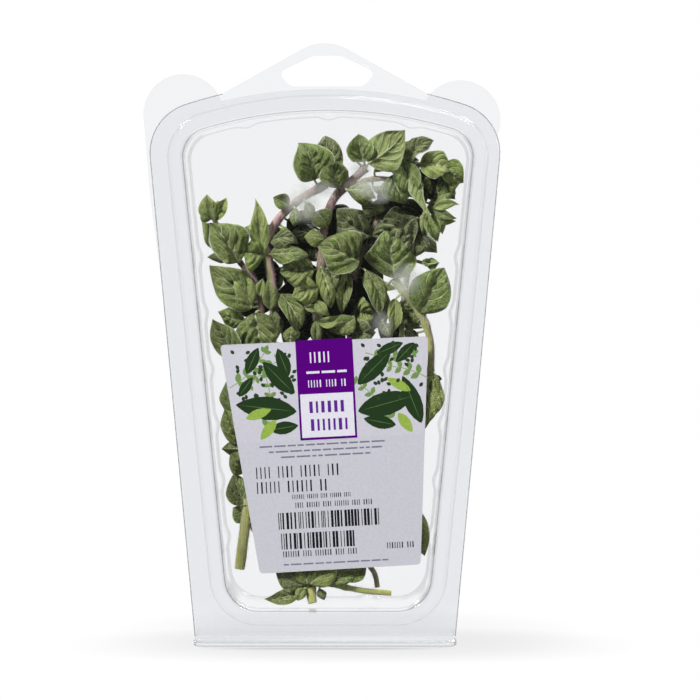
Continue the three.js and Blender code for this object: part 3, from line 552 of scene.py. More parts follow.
def blade(seat, base, tip, width, bow, look, upper, fold, roll, twist, curl, sway, blunt, cells,
          under=False, puff=1.0):
    """One leaf as (points, faces, slots, uvs, tint). `upper` is the side turned to the outside, `under` shows
    the underside there instead. fold lifts the margins, roll turns them back, curl bends the tip down, sway
    bows it sideways, puff is how much it puckers between its veins, and a small `blunt` rounds its ends."""
    start, end, up = Vector(base), Vector(tip), Vector(upper).normalized()
    crown = (start + end) / 2 + up * 2 * bow
    long = (end - start).length
    flip = -1 if under else 1
    rows, columns = cells
    points, faces, slots, uvs = [], [], [], []

    def at(u):
        sideways = (end - start).cross(up).normalized() * sway * long * 4 * u * (1 - u)
        return start * (1 - u) ** 2 + crown * 2 * u * (1 - u) + end * u * u + sideways

    def axes(u):
        along = ((crown - start) * (1 - u) + (end - crown) * u).normalized()
        side = (along.cross(up) * flip).normalized()
        face = side.cross(along)
        turn = twist * (u - 0.3)
        cos, sin = math.cos(turn), math.sin(turn)
        return along, side * cos + face * sin, face * cos - side * sin

    def spot(u, w, out):
        along, side, face = axes(u)
        shape = math.sin(math.pi * u ** WIDEST_AT) ** (blunt + TIP_SHARP * u * u) if 0 < u < 1 else 0.0
        veins = max(u - (VEIN_LAG - LAG_FALL * u) * abs(w) ** VEIN_BEND, 0.0) * SIDE_VEINS
        half = max(width / 2 * shape, NECK_HALF * (1 - u) ** 3, TIP_HALF)
        lift = fold * (math.sqrt(w * w + 0.02) - 0.14) - roll * w ** 4
        bulge = (0.5 - 0.5 * math.cos(math.tau * veins)) * (1 - 0.75 * w ** 6) * shape
        uneven = noise.noise(Vector((u * 6 + width, w * 3, bow + tip[0])))
        bulge *= puff * BULGE * width * (0.45 + 0.55 * abs(w)) * (1 + 0.6 * uneven)
        bulge += puff * WAVE * width * uneven * shape
        groove = -GROOVE * width * puff * math.exp(-(w / GROOVE_WIDTH) ** 2) * shape
        ripple = RIPPLE * width * puff * w ** 4 * shape * math.sin(8 * u + 2.3 * math.copysign(1, w) + width)
        thick = (EDGE_THICK + RIB_THICK * (1 - abs(w))) * out
        bend = -curl * long * max(0.0, u - CURL_FROM) ** 2 * CURL_GAIN
        rise = half * lift + bulge + groove + ripple + thick + bend
        return at(u) + side * half * w * (1 - 0.35 * lift * lift) + face * rise

    def station(k):
        t = k / rows
        return 0.35 * t + 0.65 * (0.5 - 0.5 * math.cos(math.pi * t))

    for out in (1, -1):
        for i in range(rows + 1):
            for j in range(columns + 1):
                w = math.sin((j / columns - 0.5) * math.pi * 0.86) / math.sin(0.43 * math.pi)
                points.append(spot(station(i), w, out))
                uvs.append((station(i), (w + 1) / 2))
    lower = len(points) // 2

    def index(i, j):
        return i * (columns + 1) + j

    for i in range(rows):
        for j in range(columns):
            loop = [index(i, j), index(i, j + 1), index(i + 1, j + 1), index(i + 1, j)]
            faces.append(loop)
            faces.append([lower + k for k in reversed(loop)])
            slots += [0, 1]
    rim = [index(0, j) for j in range(columns + 1)] + [index(i, columns) for i in range(1, rows + 1)]
    rim += [index(rows, j) for j in range(columns - 1, -1, -1)]
    rim += [index(i, 0) for i in range(rows - 1, 0, -1)]
    for a, b in zip(rim, rim[1:] + rim[:1]):
        faces.append([b, a, lower + a, lower + b])
        slots.append(0)

    # The stalk rises from the stem and runs on as the raised midrib of the underside.
    path = [(seat, 0.5, 0.0), (seat.lerp(start, 0.35), 0.42, 0.0), (seat.lerp(start, 0.75), 0.38, 0.0)]
    for k in range(RIB_STEPS):
        u = 0.02 + 0.088 * k
        _, _, face = axes(u)
        path.append((spot(u, 0.0, -1) - face * 0.02, 0.34 * (1 - u) + 0.07, u))
    first = len(points)
    for k, (middle, radius, u) in enumerate(path):
        ahead = (path[min(k + 1, len(path) - 1)][0] - path[max(k - 1, 0)][0]).normalized()
        side = ahead.cross(up).normalized()
        out = side.cross(ahead)
        for j in range(STALK_SIDES):
            turn = math.tau * j / STALK_SIDES
            points.append(middle + (side * math.cos(turn) + out * math.sin(turn)) * radius)
            uvs.append((u, 0.5))
    for k in range(len(path) - 1):
        for j in range(STALK_SIDES):
            a, b = (first + k * STALK_SIDES + i for i in (j, (j + 1) % STALK_SIDES))
            faces.append([a, a + STALK_SIDES, b + STALK_SIDES, b])
            slots.append(1)
    faces.append([first + j for j in range(STALK_SIDES)])
    faces.append([len(points) - 1 - j for j in range(STALK_SIDES)])
    slots += [1, 1]
    points = [Vector((p.x, pressed(p.y), p.z)) for p in points]
    colour, veins = LOOKS[look]
    return points, faces, slots, uvs, (*colour[:3], veins)


def tinted(piece, tints):
    """Gives each point of a mesh its own colour, for the finish to read."""
    layer = piece.data.attributes.new("tint", "FLOAT_COLOR", "POINT")
    layer.data.foreach_set("color", [c for tint in tints for c in tint])
    return piece


def leaf_piece(name, blades):
    """Joins blades into one object with their tints and vein maps."""
    points, faces, slots, uvs, tints = [], [], [], [], []
    for some, loops, kinds, flat, tint in blades:
        faces += [[k + len(points) for k in loop] for loop in loops]
        points += some
        slots += kinds
        uvs += flat
        tints += [tint] * len(some)
    piece = add_mesh(name, points, faces, [upper_side, under_side], slots, smooth=60)
    layer = piece.data.uv_layers.new(name="blade")
    layer.data.foreach_set("uv", [v for loop in faces for k in loop for v in uvs[k]])
    return tinted(piece, tints)


def stem_piece(name, line, radii, nodes, colours):
    """A square downy stem along a line, swollen at its leaf pairs. colours are stops along it, each (share of
    the length, colour) or (share, colour on the left, colour on the right)."""
    points, faces, tints = [], [], []
    lengths = [0.0]
    for a, b in zip(line, line[1:]):
        lengths.append(lengths[-1] + (b - a).length)
    side = None
    rings = len(line)
    for k, middle in enumerate(line):
        share = lengths[k] / lengths[-1]
        ahead = (line[min(k + 1, rings - 1)] - line[max(k - 1, 0)]).normalized()
        side = (side - ahead * side.dot(ahead)).normalized() if side else ahead.orthogonal().normalized()
        out = ahead.cross(side)
        radius = radii[0] + (radii[1] - radii[0]) * share
        near = (math.exp(-((middle - n).length / (NODE_REACH * radius)) ** 2) for n in nodes)
        radius *= 1 + NODE_SWELL * max(near, default=0)
        if k in (0, rings - 1):
            radius *= 0.93
        low, high = colours[0], colours[-1]
        for a, b in zip(colours, colours[1:]):
            if a[0] <= share <= b[0]:
                low, high = a, b
        t = min(max((share - low[0]) / max(high[0] - low[0], 1e-6), 0), 1)
        left = [p + (q - p) * t for p, q in zip(low[1], high[1])]
        right = [p + (q - p) * t for p, q in zip(low[-1], high[-1])]
        for j in range(STEM_SIDES):
            turn = math.tau * j / STEM_SIDES
            aside = side * math.cos(turn) + out * math.sin(turn)
            wobble = 1 + WOBBLE * noise.noise(middle * 0.4 + Vector((j * 0.3, 0, 0)))
            points.append(middle + aside * (radius * wobble * (1 + SQUARENESS * math.cos(4 * turn))))
            mix = min(max(0.5 + 1.6 * aside.x, 0), 1)
            tints.append([p + (q - p) * mix for p, q in zip(left, right)])
    for k in range(rings - 1):
        for j in range(STEM_SIDES):
            a, b = k * STEM_SIDES + j, k * STEM_SIDES + (j + 1) % STEM_SIDES
            faces.append([a, b, b + STEM_SIDES, a + STEM_SIDES])
    start, end = len(points), len(points) + 1
    points += [line[0] + (line[1] - line[0]).normalized() * 0.15,
               line[-1] + (line[-1] - line[-2]).normalized() * 0.3]
    tints += [CUT_END, tints[-1]]
    last = (rings - 1) * STEM_SIDES
    for j in range(STEM_SIDES):
        k = (j + 1) % STEM_SIDES
        faces.append([start, k, j])
        faces.append([end, last + j, last + k])
    return tinted(add_mesh(name, points, faces, [stem_skin, stem_hair], smooth=60), tints)


def hair_tree():
    """Short hairs all over a stem: thin three-sided cones that lean at random."""
    tree = bpy.data.node_groups.new("downy", "GeometryNodeTree")
    sockets = {}
    tree.interface.new_socket("Geometry", in_out="INPUT", socket_type="NodeSocketGeometry")
    for name, kind in (("Hairs per square metre", "NodeSocketFloat"), ("Hair length", "NodeSocketFloat"),
                       ("Hair width", "NodeSocketFloat"), ("Seed", "NodeSocketInt")):
        sockets[name] = tree.interface.new_socket(name, in_out="INPUT", socket_type=kind).identifier
    tree.interface.new_socket("Geometry", in_out="OUTPUT", socket_type="NodeSocketGeometry")
    given = tree.nodes.new("NodeGroupInput").outputs
    spots = put(tree, "GeometryNodeDistributePointsOnFaces", {
        "Mesh": given["Geometry"], "Density": given["Hairs per square metre"], "Seed": given["Seed"]})
    hair = put(tree, "GeometryNodeMeshCone", {
        "Vertices": 3, "Radius Bottom": given["Hair width"], "Radius Top": 0.000004,
        "Depth": given["Hair length"]})
    lean = put(tree, "FunctionNodeRandomValue", {
        0: (-0.7, -0.7, -3.0), 1: (0.7, 0.7, 3.0), "Seed": given["Seed"]}, data_type="FLOAT_VECTOR")
    size = put(tree, "FunctionNodeRandomValue", {2: 0.45, 3: 1.15, "Seed": given["Seed"]}, data_type="FLOAT")
    tilt = put(tree, "FunctionNodeEulerToRotation", {0: lean.outputs[0]})
    turned = put(tree, "FunctionNodeRotateRotation", {
        0: spots.outputs["Rotation"], 1: tilt.outputs[0]}, rotation_space="LOCAL")
    hairs = put(tree, "GeometryNodeInstanceOnPoints", {
        "Points": spots.outputs["Points"], "Instance": hair.outputs["Mesh"], "Rotation": turned.outputs[0],
        "Scale": size.outputs[1]})
    real = put(tree, "GeometryNodeRealizeInstances", {"Geometry": hairs.outputs[0]})
    dressed = put(tree, "GeometryNodeSetMaterial", {"Geometry": real.outputs[0], "Material": stem_hair})
    both = put(tree, "GeometryNodeJoinGeometry", {"Geometry": given["Geometry"]})
    tree.links.new(dressed.outputs[0], both.inputs[0])
    put(tree, "NodeGroupOutput", {0: both.outputs[0]})
    return tree, sockets


downy, downy_inputs = hair_tree()
HAIRS, HAIR_LENGTH, HAIR_WIDTH = 2.2, 0.85, 0.035


def grow_down(piece, seed):
    """Covers a stem in HAIRS hairs for each square millimetre."""
    hairs = piece.modifiers.new("down", "NODES")
    hairs.node_group = downy
    hairs[downy_inputs["Hairs per square metre"]] = HAIRS * 1e6
    hairs[downy_inputs["Hair length"]] = HAIR_LENGTH * MM
    hairs[downy_inputs["Hair width"]] = HAIR_WIDTH * MM
    hairs[downy_inputs["Seed"]] = seed
    return made_plain(piece)


LINES = {}
FRONT = (0, -1, 0.1)
WIDER = 1.13


def nearest(line, point):
    return min(line, key=lambda p: (p - point).length)


def sprig(name, points, radii, colours, leaves, small, stem_from=None):
    """One sprig: its stem, each larger leaf as its own piece, and the small leaves joined as one piece.
    A leaf is (base, tip, width, outer side, bow, look), then its own shape in blade()'s words, if any.
    A small leaf leaves out the outer side, because it faces the front unless its shape says otherwise."""
    points = [Vector(p) for p in points]
    if stem_from:
        points.insert(0, nearest(LINES[stem_from], points[0]))
    line = stem_line(points)
    LINES[name] = line
    nodes = [nearest(line, Vector(leaf[0])) for leaf in leaves]
    stem = grow_down(stem_piece(f"{name}_stalk", line, radii, nodes, colours), seed=len(name))
    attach(stem, "tray")
    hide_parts(f"{name}_stem")
    chance = random.Random(name)
    all_leaves = [(base, tip, width, bow, look, {"upper": upper, **dict(*own)})
                  for base, tip, width, upper, bow, look, *own in leaves]
    all_leaves += [(base, tip, width, bow, look, {"upper": FRONT, "puff": 0.7, **dict(*own)})
                   for base, tip, width, bow, look, *own in small]
    tiny = []
    for k, (base, tip, width, bow, look, own) in enumerate(all_leaves):
        large = k < len(leaves)
        shape = {"fold": chance.choice((-0.9, -0.5, 0.35, 0.7, 0.9)), "roll": chance.uniform(0.0, 0.7),
                 "twist": chance.uniform(-0.8, 0.8), "curl": chance.uniform(0.1, 0.8),
                 "sway": chance.uniform(-0.1, 0.1), "blunt": chance.uniform(0.66, 0.9), **own}
        shape["fold"] *= 2.0 if abs(shape["fold"]) < 0.45 else 1.0
        shape["cells"] = (52, 30) if large else (34, 20) if width > 5.5 else (24, 12)
        stems = [line] if large else LINES.values()
        seat = nearest([nearest(other, Vector(base)) for other in stems], Vector(base))
        made = blade(seat, base, tip, width * WIDER, bow, look, **shape)
        if not large:
            tiny.append(made)
            continue
        piece = leaf_piece(f"{name}_blade_{k + 1}", [made])
        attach(piece, "tray")
        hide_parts(f"{name}_leaf_{k + 1}")
    piece = leaf_piece(f"{name}_small_leaves", tiny)
    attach(piece, "tray")


PURPLE, PINK, GREEN, BROWN, STRAW = (paint(c) for c in ("6b4a50", "a07a78", "8a9656", "74694a", "98a040"))

# ---- Left sprig ----
# A thick stem that bends over the top to the right, half pink and half pale green, with its leaf pairs. Like
# the other sprigs it is fixed to nothing and lies in the tray.
sprig(
    "left",
    [(-29, 6, 24), (-26.3, 6.5, 46), (-23.7, 9, 68), (-20.3, 10, 88), (-17.3, 9, 108), (-17.7, 7.5, 118),
     (-19, 7, 127.7), (-19.7, 7, 133.3), (-17.7, 8, 139.3), (-14.3, 8.5, 144), (-9, 9, 148.7),
     (-2.3, 9, 152.7), (0.3, 9, 154.3)],
    (1.9, 1.4),
    [(0, STRAW), (0.35, GREEN, STRAW), (0.5, GREEN, PINK), (0.75, GREEN, PINK), (0.85, PINK, PURPLE),
     (1, PURPLE)],
    [
        ((-3.7, 6, 155.5), (-8, 3, 168.6), 13.2, (0.1, -1, 0.2), 1, "fresh", {"fold": 0.3, "roll": 0.1}),
        ((1.5, 8.5, 157.5), (0.8, 7, 171.2), 10.1, (0.1, -1, 0), 0.8, "dark", {"fold": 0.4, "sway": -0.05}),
        ((-20.7, 4.2, 131), (-22, 3, 148.6), 6, (0.2, 1, 0), 0.8, "pale", {"under": True}),
        ((-20.8, 5, 130), (-27.8, 3.8, 131.6), 11.2, (0, -1, 0.1), 0.8, "bright", {"fold": 0.25}),
        ((-18.5, 5, 134.6), (-8, 4.5, 135.2), 5.8, (0, -0.8, 0.6), 1.2, "dark", {"fold": 0.2}),
        ((-18.5, 4.4, 130.6), (-5, 3, 132), 7.2, (0, -1, 0.5), 0.8, "mid", {"fold": -0.1}),
        ((-15, 5.4, 117), (-8.2, 3.4, 103.5), 7.4, (0.4, -1, 0), 1.2, "mid", {"fold": 0.25}),
        ((-22, 13, 91), (-29, 20, 101), 10.1, (-0.3, 1, -0.9), 1, "dark"),
    ],
    [
        ((-12.4, 7, 147), (-17.6, 6, 149.6), 5.3, 0.5, "mid"),
        ((-10, 6.5, 146), (-10.4, 5, 139.6), 5.4, 0.5, "mid"),
        ((-6.5, 6.5, 148), (-3.4, 5.5, 141.5), 4.8, 0.4, "dark"),
        ((-21.5, 6.5, 137), (-27.4, 6, 139.6), 5.2, 0.4, "fresh"),
        ((-12.2, 7, 138.2), (-15.4, 6, 138.6), 2.7, 0.3, "bright"),
        ((-18.4, 4.5, 112), (-19, 3.5, 122), 4.7, 0.4, "mid"),
        ((-22, 3.8, 116.5), (-20.6, 3, 122.4), 3.2, 0.3, "pale"),
        ((-12, 6, 100), (-11.6, 4, 106.4), 6.7, 0.4, "mid"),
        ((-16, 6, 104), (-17.6, 5, 112), 5.6, 0.4, "dark"),
        ((-25.5, 8.5, 46.7), (-24, 7, 34.7), 3.4, 0.4, "dark"),
        ((-18, 12, 112), (-27, 15, 121), 14.3, 0.5, "deep"),
        ((-17, 11, 128), (-25, 13, 119), 13, 0.5, "deep"),
        ((-14, 12, 138), (-23, 13, 131), 11.7, 0.5, "deep"),
        ((-13, 12, 142), (-1, 13, 136), 14.3, 0.5, "deep"),
        ((-12, 14, 113), (-13, 14, 102), 11, 0.5, "deep"),
        ((-14, 10, 126), (-6, 12, 132), 11.7, 0.5, "deep"),
        ((-16, 12, 118), (-4, 14, 110), 15.6, 0.5, "deep"),
        ((-15, 12, 104), (-4, 14, 103), 13, 0.5, "deep"),
    ])

# ---- Bud sprig ----
# The long thin sprig on the far left, which ends in a head of young leaves. It lies in the tray, beside the
# left sprig.
sprig(
    "bud",
    [(-21, 12, 32), (-25.7, 11, 52), (-28.3, 10, 72), (-27, 9.5, 92), (-22.3, 8, 106.7), (-21.9, 6, 113.3),
     (-23.9, 5.8, 121.7), (-27.3, 6.2, 126), (-31.7, 7.5, 132.3), (-36.3, 8.5, 140), (-38.5, 8.5, 144.5)],
    (1.5, 0.8),
    [(0, STRAW), (0.5, GREEN), (0.68, PINK), (0.8, PURPLE), (1, PURPLE)],
    [
        ((-24.5, 3.6, 112.5), (-40.6, 2.4, 125.4), 11.9, (0.1, -1, 0.1), 0.6, "mid",
         {"fold": 0.1, "puff": 1.3}),
        ((-27, 6.5, 108), (-36.4, 5.6, 111), 10.8, (0, -1, 0), 0.6, "bright"),
        ((-31, 6, 96), (-38.2, 3.8, 108.6), 9, (0, -1, 0), 0.6, "mid", {"sway": 0.05}),
        ((-23.6, 3.2, 110.8), (-21, 1.8, 96.5), 14.4, (0, -1, -0.1), 0.6, "mid", {"fold": -0.1, "puff": 1.4}),
        ((-29, 4.4, 128), (-38, 3, 142.3), 12.6, (0.3, -1, 0.1), 0.8, "mid",
         {"fold": 0.9, "puff": 1.4, "roll": 0.4}),
        ((-30.6, 5, 75.6), (-33.2, 3, 88.4), 10.6, (-0.2, -1, 0), 0.6, "mid", {"fold": -0.1}),
        ((-29.4, 5.5, 66.5), (-34, 3, 78.4), 9, (-0.2, -1, 0), 0.6, "pale", {"fold": 0.1}),
        ((-27, 6.5, 57), (-32, 4.5, 63.6), 7.4, (-0.2, -1, 0), 0.6, "mid"),
    ],
    [
        ((-27.5, 7, 64.6), (-35, 5, 65), 4.9, 0.4, "fresh", {"under": True}),
        ((-26.6, 6, 46), (-30.6, 5, 56.6), 8.4, 0.4, "mid", {"fold": 0.2}),
        ((-27, 7, 41), (-31.6, 6, 44.6), 6.4, 0.4, "mid", {"fold": 0.2}),
        ((-29, 8, 61), (-31.4, 7, 68.4), 4.5, 0.4, "mid"),
        ((-38, 6, 142.2), (-40.8, 5, 150.6), 7, 0.5, "pale", {"fold": 0.3}),
        ((-36.6, 6, 142), (-32.6, 5, 149.4), 4.6, 0.4, "pale"),
        ((-37.5, 5, 142.6), (-36, 4, 148.6), 5.4, 0.4, "pale"),
        ((-38.6, 6.4, 142.4), (-42, 6, 144.6), 4.4, 0.4, "mid"),
        ((-37, 4.6, 141.4), (-37.8, 3.8, 146.6), 4.2, 0.4, "fresh"),
        ((-33, 5, 128.6), (-39.8, 4, 129), 4.3, 0.4, "mid"),
        ((-36, 8, 132), (-41, 7, 142), 5.6, 0.4, "pale"),
        ((-25, 3.4, 114), (-29.6, 2.6, 125), 6.3, 0.4, "pale", {"fold": 0.3}),
        ((-24, 9, 104), (-31, 10, 103), 10.4, 0.4, "deep"),
        ((-22.5, 9, 101), (-28, 8, 96.5), 6.7, 0.4, "dark"),
        ((-22, 11, 98), (-13, 12, 97), 10.4, 0.4, "deep"),
    ])

# ---- Middle sprig ----
# A thick, very downy stem, which leans right at its top, with leaf pairs in the dense middle of the bunch.
# Its cut end stands on the tray's floor.
sprig(
    "middle",
    [(-4.2, 3, 12.9), (-6.3, 5.2, 21), (-8.3, 9, 42), (-6.7, 11, 65), (-4.3, 12, 88), (-2.3, 11, 108),
     (-1.7, 9.5, 120), (-1.3, 8, 126.3), (-1, 9, 135), (0.7, 9, 144.3), (4, 9, 150.7), (9, 8.5, 155.3),
     (13.7, 8, 159.7)],
    (1.6, 1.45),
    [(0, STRAW), (0.4, GREEN), (0.7, BROWN), (0.85, PURPLE), (1, PURPLE)],
    [
        ((4.6, 6.4, 153), (0.6, 4, 163.8), 8.7, (0.2, -1, 0.1), 0.8, "mid", {"fold": 0.3}),
        ((13, 6, 161.6), (11.6, 5, 171.4), 8.7, (-0.2, -1, 0), 0.8, "fresh", {"fold": 0.3}),
        ((14.6, 5.2, 161), (27, 2.5, 171.4), 12.8, (-0.1, -1, 0.2), 1, "pale", {"under": True, "fold": -0.1}),
        ((7.4, 6, 152), (17.6, 4, 150.4), 9.4, (0, -1, 0.2), 0.8, "pale"),
        ((-4, 5.6, 125.2), (-15.4, 4.8, 124.4), 11.2, (0, -1, 0.1), 0.8, "mid", {"fold": 0.4, "puff": 1.3}),
        ((-2.4, 4, 119), (-11.2, 2.2, 116.4), 9, (0, -1, 0), 0.6, "pale", {"fold": 0.1}),
        ((-1.4, 4.4, 126), (2.4, 1.6, 112.6), 8.5, (0.2, -1, 0), 0.6, "pale", {"blunt": 0.5, "puff": 1.3}),
        ((-9.2, 3.6, 21.6), (-16, 3, 24), 7.2, (0, -1, 0), 0.5, "fresh"),
        ((-4.6, 2.4, 22), (-2, 2, 32), 12.3, (0, -1, 0), 0.3, "mid"),
    ],
    [
        ((10.7, 7.5, 161.7), (8.3, 8, 166.2), 3.9, 0.4, "bright"),
        ((5.4, 8, 152.6), (8.4, 7, 158.6), 5.6, 0.4, "dark"),
        ((2.3, 6, 125.5), (3.4, 4.5, 118), 4.9, 0.4, "dark"),
        ((-3, 4, 114.6), (1.2, 2.6, 109.6), 3.8, 0.3, "pale"),
        ((-3.4, 4, 112), (-7, 3, 112.4), 2.7, 0.3, "pale"),
        ((-2, 4.6, 107.4), (5.8, 3.6, 110), 4, 0.5, "pale", {"sway": 0.12}),
        ((-3, 6, 101.6), (-3, 5, 108.6), 3.4, 0.3, "mid"),
        ((-3.5, 15, 92), (6, 17, 101), 9, 0.5, "dark"),
        ((-9, 6, 60), (-17, 4, 52), 9, 0.5, "mid"),
        ((-3, 6, 144.8), (1.5, 5.5, 139.5), 6.7, 0.4, "mid"),
        ((-3, 8, 136.2), (-11.4, 7.5, 138.6), 6, 0.4, "deep"),
        ((-0.4, 6.5, 135.6), (-7.4, 5.5, 136.4), 6, 0.5, "pale"),
        ((-1, 13, 138), (-11, 13, 130), 13, 0.5, "deep"),
        ((-9, 13, 113), (-18, 14, 104), 12, 0.5, "deep"),
        ((-1, 12, 128), (8, 14, 120), 15.6, 0.5, "deep"),
        ((0, 13, 118), (9, 14, 108), 15.6, 0.5, "deep"),
        ((-3, 13, 126), (-13, 14, 116), 15.6, 0.5, "deep"),
        ((1, 12, 140), (10, 13, 131), 15.6, 0.5, "deep"),
        ((1, 11, 146), (8, 12, 138), 10.4, 0.5, "deep"),
        ((-2, 13, 106), (7, 13, 100), 11.7, 0.5, "deep"),
        ((0, 14, 115), (-10, 14, 107), 12, 0.5, "deep"),
        ((-2, 14, 124), (-3, 15, 111), 10, 0.5, "deep"),
        ((-5, 14, 112), (-4, 14, 101), 10, 0.5, "deep"),
        ((3, 14, 120), (14, 14, 112), 12, 0.5, "deep"),
    ])

# ---- Side branch of the middle sprig ----
# A thin brown downy shoot with light young leaves. It grows from the middle stem, near its top, and runs to
# the right.
sprig(
    "branch",
    [(10.5, 8.3, 154), (13.5, 8, 155.4), (18.3, 7.5, 156), (23.3, 7.5, 156), (26.3, 7.5, 159), (31, 8, 160.7),
     (35.7, 8.5, 160)],
    (1.0, 0.7),
    [(0, BROWN), (0.6, BROWN), (1, GREEN)],
    [
        ((16.4, 5.6, 158.4), (24, 4.6, 158.6), 4.7, (0, -0.5, 1), 0.4, "fresh"),
        ((26.4, 6, 162.4), (36.2, 5, 169.6), 7.8, (-0.5, -0.8, 0.5), 0.8, "dark", {"fold": 0.45}),
        ((32, 6.3, 161), (43.4, 5.4, 159.4), 9.6, (0, -1, 0.4), 1, "pale", {"fold": 0.15}),
        ((29.4, 5, 160), (32, 3.6, 142.4), 6, (0.8, -0.8, 0), 2.2, "pale", {"under": True}),
        ((22.4, 5.6, 157), (27.4, 4.4, 147.4), 9.6, (0.1, -1, 0.2), 0.6, "fresh", {"fold": 0.5}),
    ],
    [
        ((16, 8, 153), (23.6, 7.5, 152), 4.7, 0.4, "mid"),
        ((25, 4.4, 161), (29, 3.6, 148.6), 8.6, 0.6, "fresh", {"fold": 0.5}),
        ((25, 8, 160.6), (32, 7.5, 162.4), 4.5, 0.4, "dark"),
        ((31.4, 8, 159), (36, 8.6, 148), 8.3, 0.4, "deep"),
        ((34, 8, 158), (37, 8, 163.6), 4.5, 0.4, "dark"),
        ((20, 9, 155), (27, 10, 147), 10.4, 0.4, "deep"),
    ],
    stem_from="middle")

# ---- Right sprig ----
# A bowed green stem with large leaves near its top. It lies in the tray, in front of the back and far
# sprigs.
sprig(
    "right",
    [(17.7, 6.6, 17.6), (16.8, 7, 22), (14.2, 6.8, 26.5), (14, 7, 31), (16, 8.5, 42), (22.3, 9, 62),
     (30, 8, 77), (34.7, 6, 87), (35.7, 4.8, 95), (35.3, 4.3, 101.7), (33.3, 4.2, 108.3), (29.7, 4.6, 114),
     (25.7, 5.6, 118.7), (23.3, 6, 122)],
    (0.9, 1.35),
    [(0, BROWN), (0.3, GREEN), (0.8, STRAW, BROWN), (1, GREEN)],
    [
        ((23.6, 3.4, 122.4), (23.4, 1.8, 139.4), 15.6, (0, -1, 0.1), 0.6, "fresh",
         {"fold": -0.1, "puff": 1.3}),
        ((23.4, 3.8, 115.5), (22.6, 2.6, 103.5), 4.9, (0, -1, 0), 0.5, "pale"),
        ((32, 7, 106), (25.6, 8, 114.8), 10.1, (0.1, -1, 0), 0.5, "bright"),
        ((32, 2.4, 111), (39.8, 1.8, 126.4), 13, (0, -1, 0), 0.5, "fresh",
         {"fold": 0.3, "puff": 1.3, "twist": 0.2}),
        ((36.6, 1.8, 90.6), (33.4, 1.2, 70.4), 11.4, (0.3, -1, 0), 0.5, "pale",
         {"fold": 0.12, "puff": 1.5, "sway": 0.08, "twist": 0.0}),
    ],
    [
        ((24, 6.5, 119), (12, 6, 124.3), 4.5, 0.4, "mid", {"upper": (0, -0.3, 1)}),
        ((37, 5, 89), (39.4, 4.6, 88.4), 2, 0.2, "dark"),
        ((31, 6.6, 104), (27, 6, 101), 5.6, 0.3, "dark"),
        ((31, 7.6, 112), (26, 8, 107), 6.7, 0.3, "dark"),
    ])

# ---- Back sprig ----
# A stem with darker leaves, some painted as shade, behind the middle sprig. Its cut end stands on the tray's
# floor.
sprig(
    "back",
    [(-4.5, 12, 12.9), (-3.5, 13.5, 28), (6, 17, 58), (7.7, 17, 88), (9, 13, 115), (11, 9, 127.7),
     (15.7, 11, 136.7), (18.3, 13, 144.3)],
    (1.3, 1.0),
    [(0, STRAW), (0.5, GREEN), (0.7, PURPLE), (1, BROWN)],
    [
        ((15, 8.6, 136.6), (3.4, 7, 145.4), 11.9, (-0.1, -1, 0.3), 0.8, "shade", {"fold": 0.2, "puff": 1.3}),
        ((11.4, 5.6, 128), (-2.6, 3.4, 134.8), 14.1, (0.1, -1, 0.3), 1, "mid", {"fold": 0.15, "puff": 1.5}),
        ((7.6, 8.6, 124), (5.4, 5, 110.4), 5.2, (0, -1, 0), 0.6, "mid"),
        ((9.4, 9, 110.5), (17, 7, 110.4), 9.9, (0, -1, 0), 0.6, "pale"),
        ((14, 6, 125), (18.6, 3.6, 109.4), 7.2, (0.5, -1, 0), 1.2, "mid", {"fold": 0.2}),
        ((6, 19.4, 80), (-4, 20, 72), 10.1, (-0.1, 1, 0), 0.6, "dark"),
    ],
    [
        ((18, 10, 145), (11.6, 9, 147.6), 5.6, 0.5, "dark"),
        ((14, 9, 146), (22.4, 8, 145.8), 5.2, 0.5, "dark"),
        ((9, 8, 104.5), (17, 6, 103.5), 7.8, 0.5, "dark"),
        ((10, 5, 109), (1.8, 4, 103.4), 6.5, 0.5, "mid", {"fold": 0.2}),
        ((17, 7, 118), (22, 6, 112), 5.6, 0.4, "mid"),
        ((19, 7, 108), (22, 6, 101.4), 6.7, 0.4, "dark"),
        ((9.5, 17, 118), (1, 19, 127), 11.7, 0.5, "deep"),
        ((10, 12, 126), (18, 13, 116), 14.3, 0.5, "deep"),
        ((14, 13, 116), (20, 13, 105), 14.3, 0.5, "deep"),
        ((9, 13, 112), (14, 13, 101), 14.3, 0.5, "deep"),
        ((14, 12, 138), (5, 13, 130), 14.3, 0.5, "deep"),
        ((17, 14, 146), (9, 14, 136), 11.7, 0.5, "deep"),
        ((11, 13, 138), (19, 13, 127), 13, 0.5, "deep"),
        ((17, 12, 146), (28, 12, 144), 9, 0.5, "deep"),
    ])
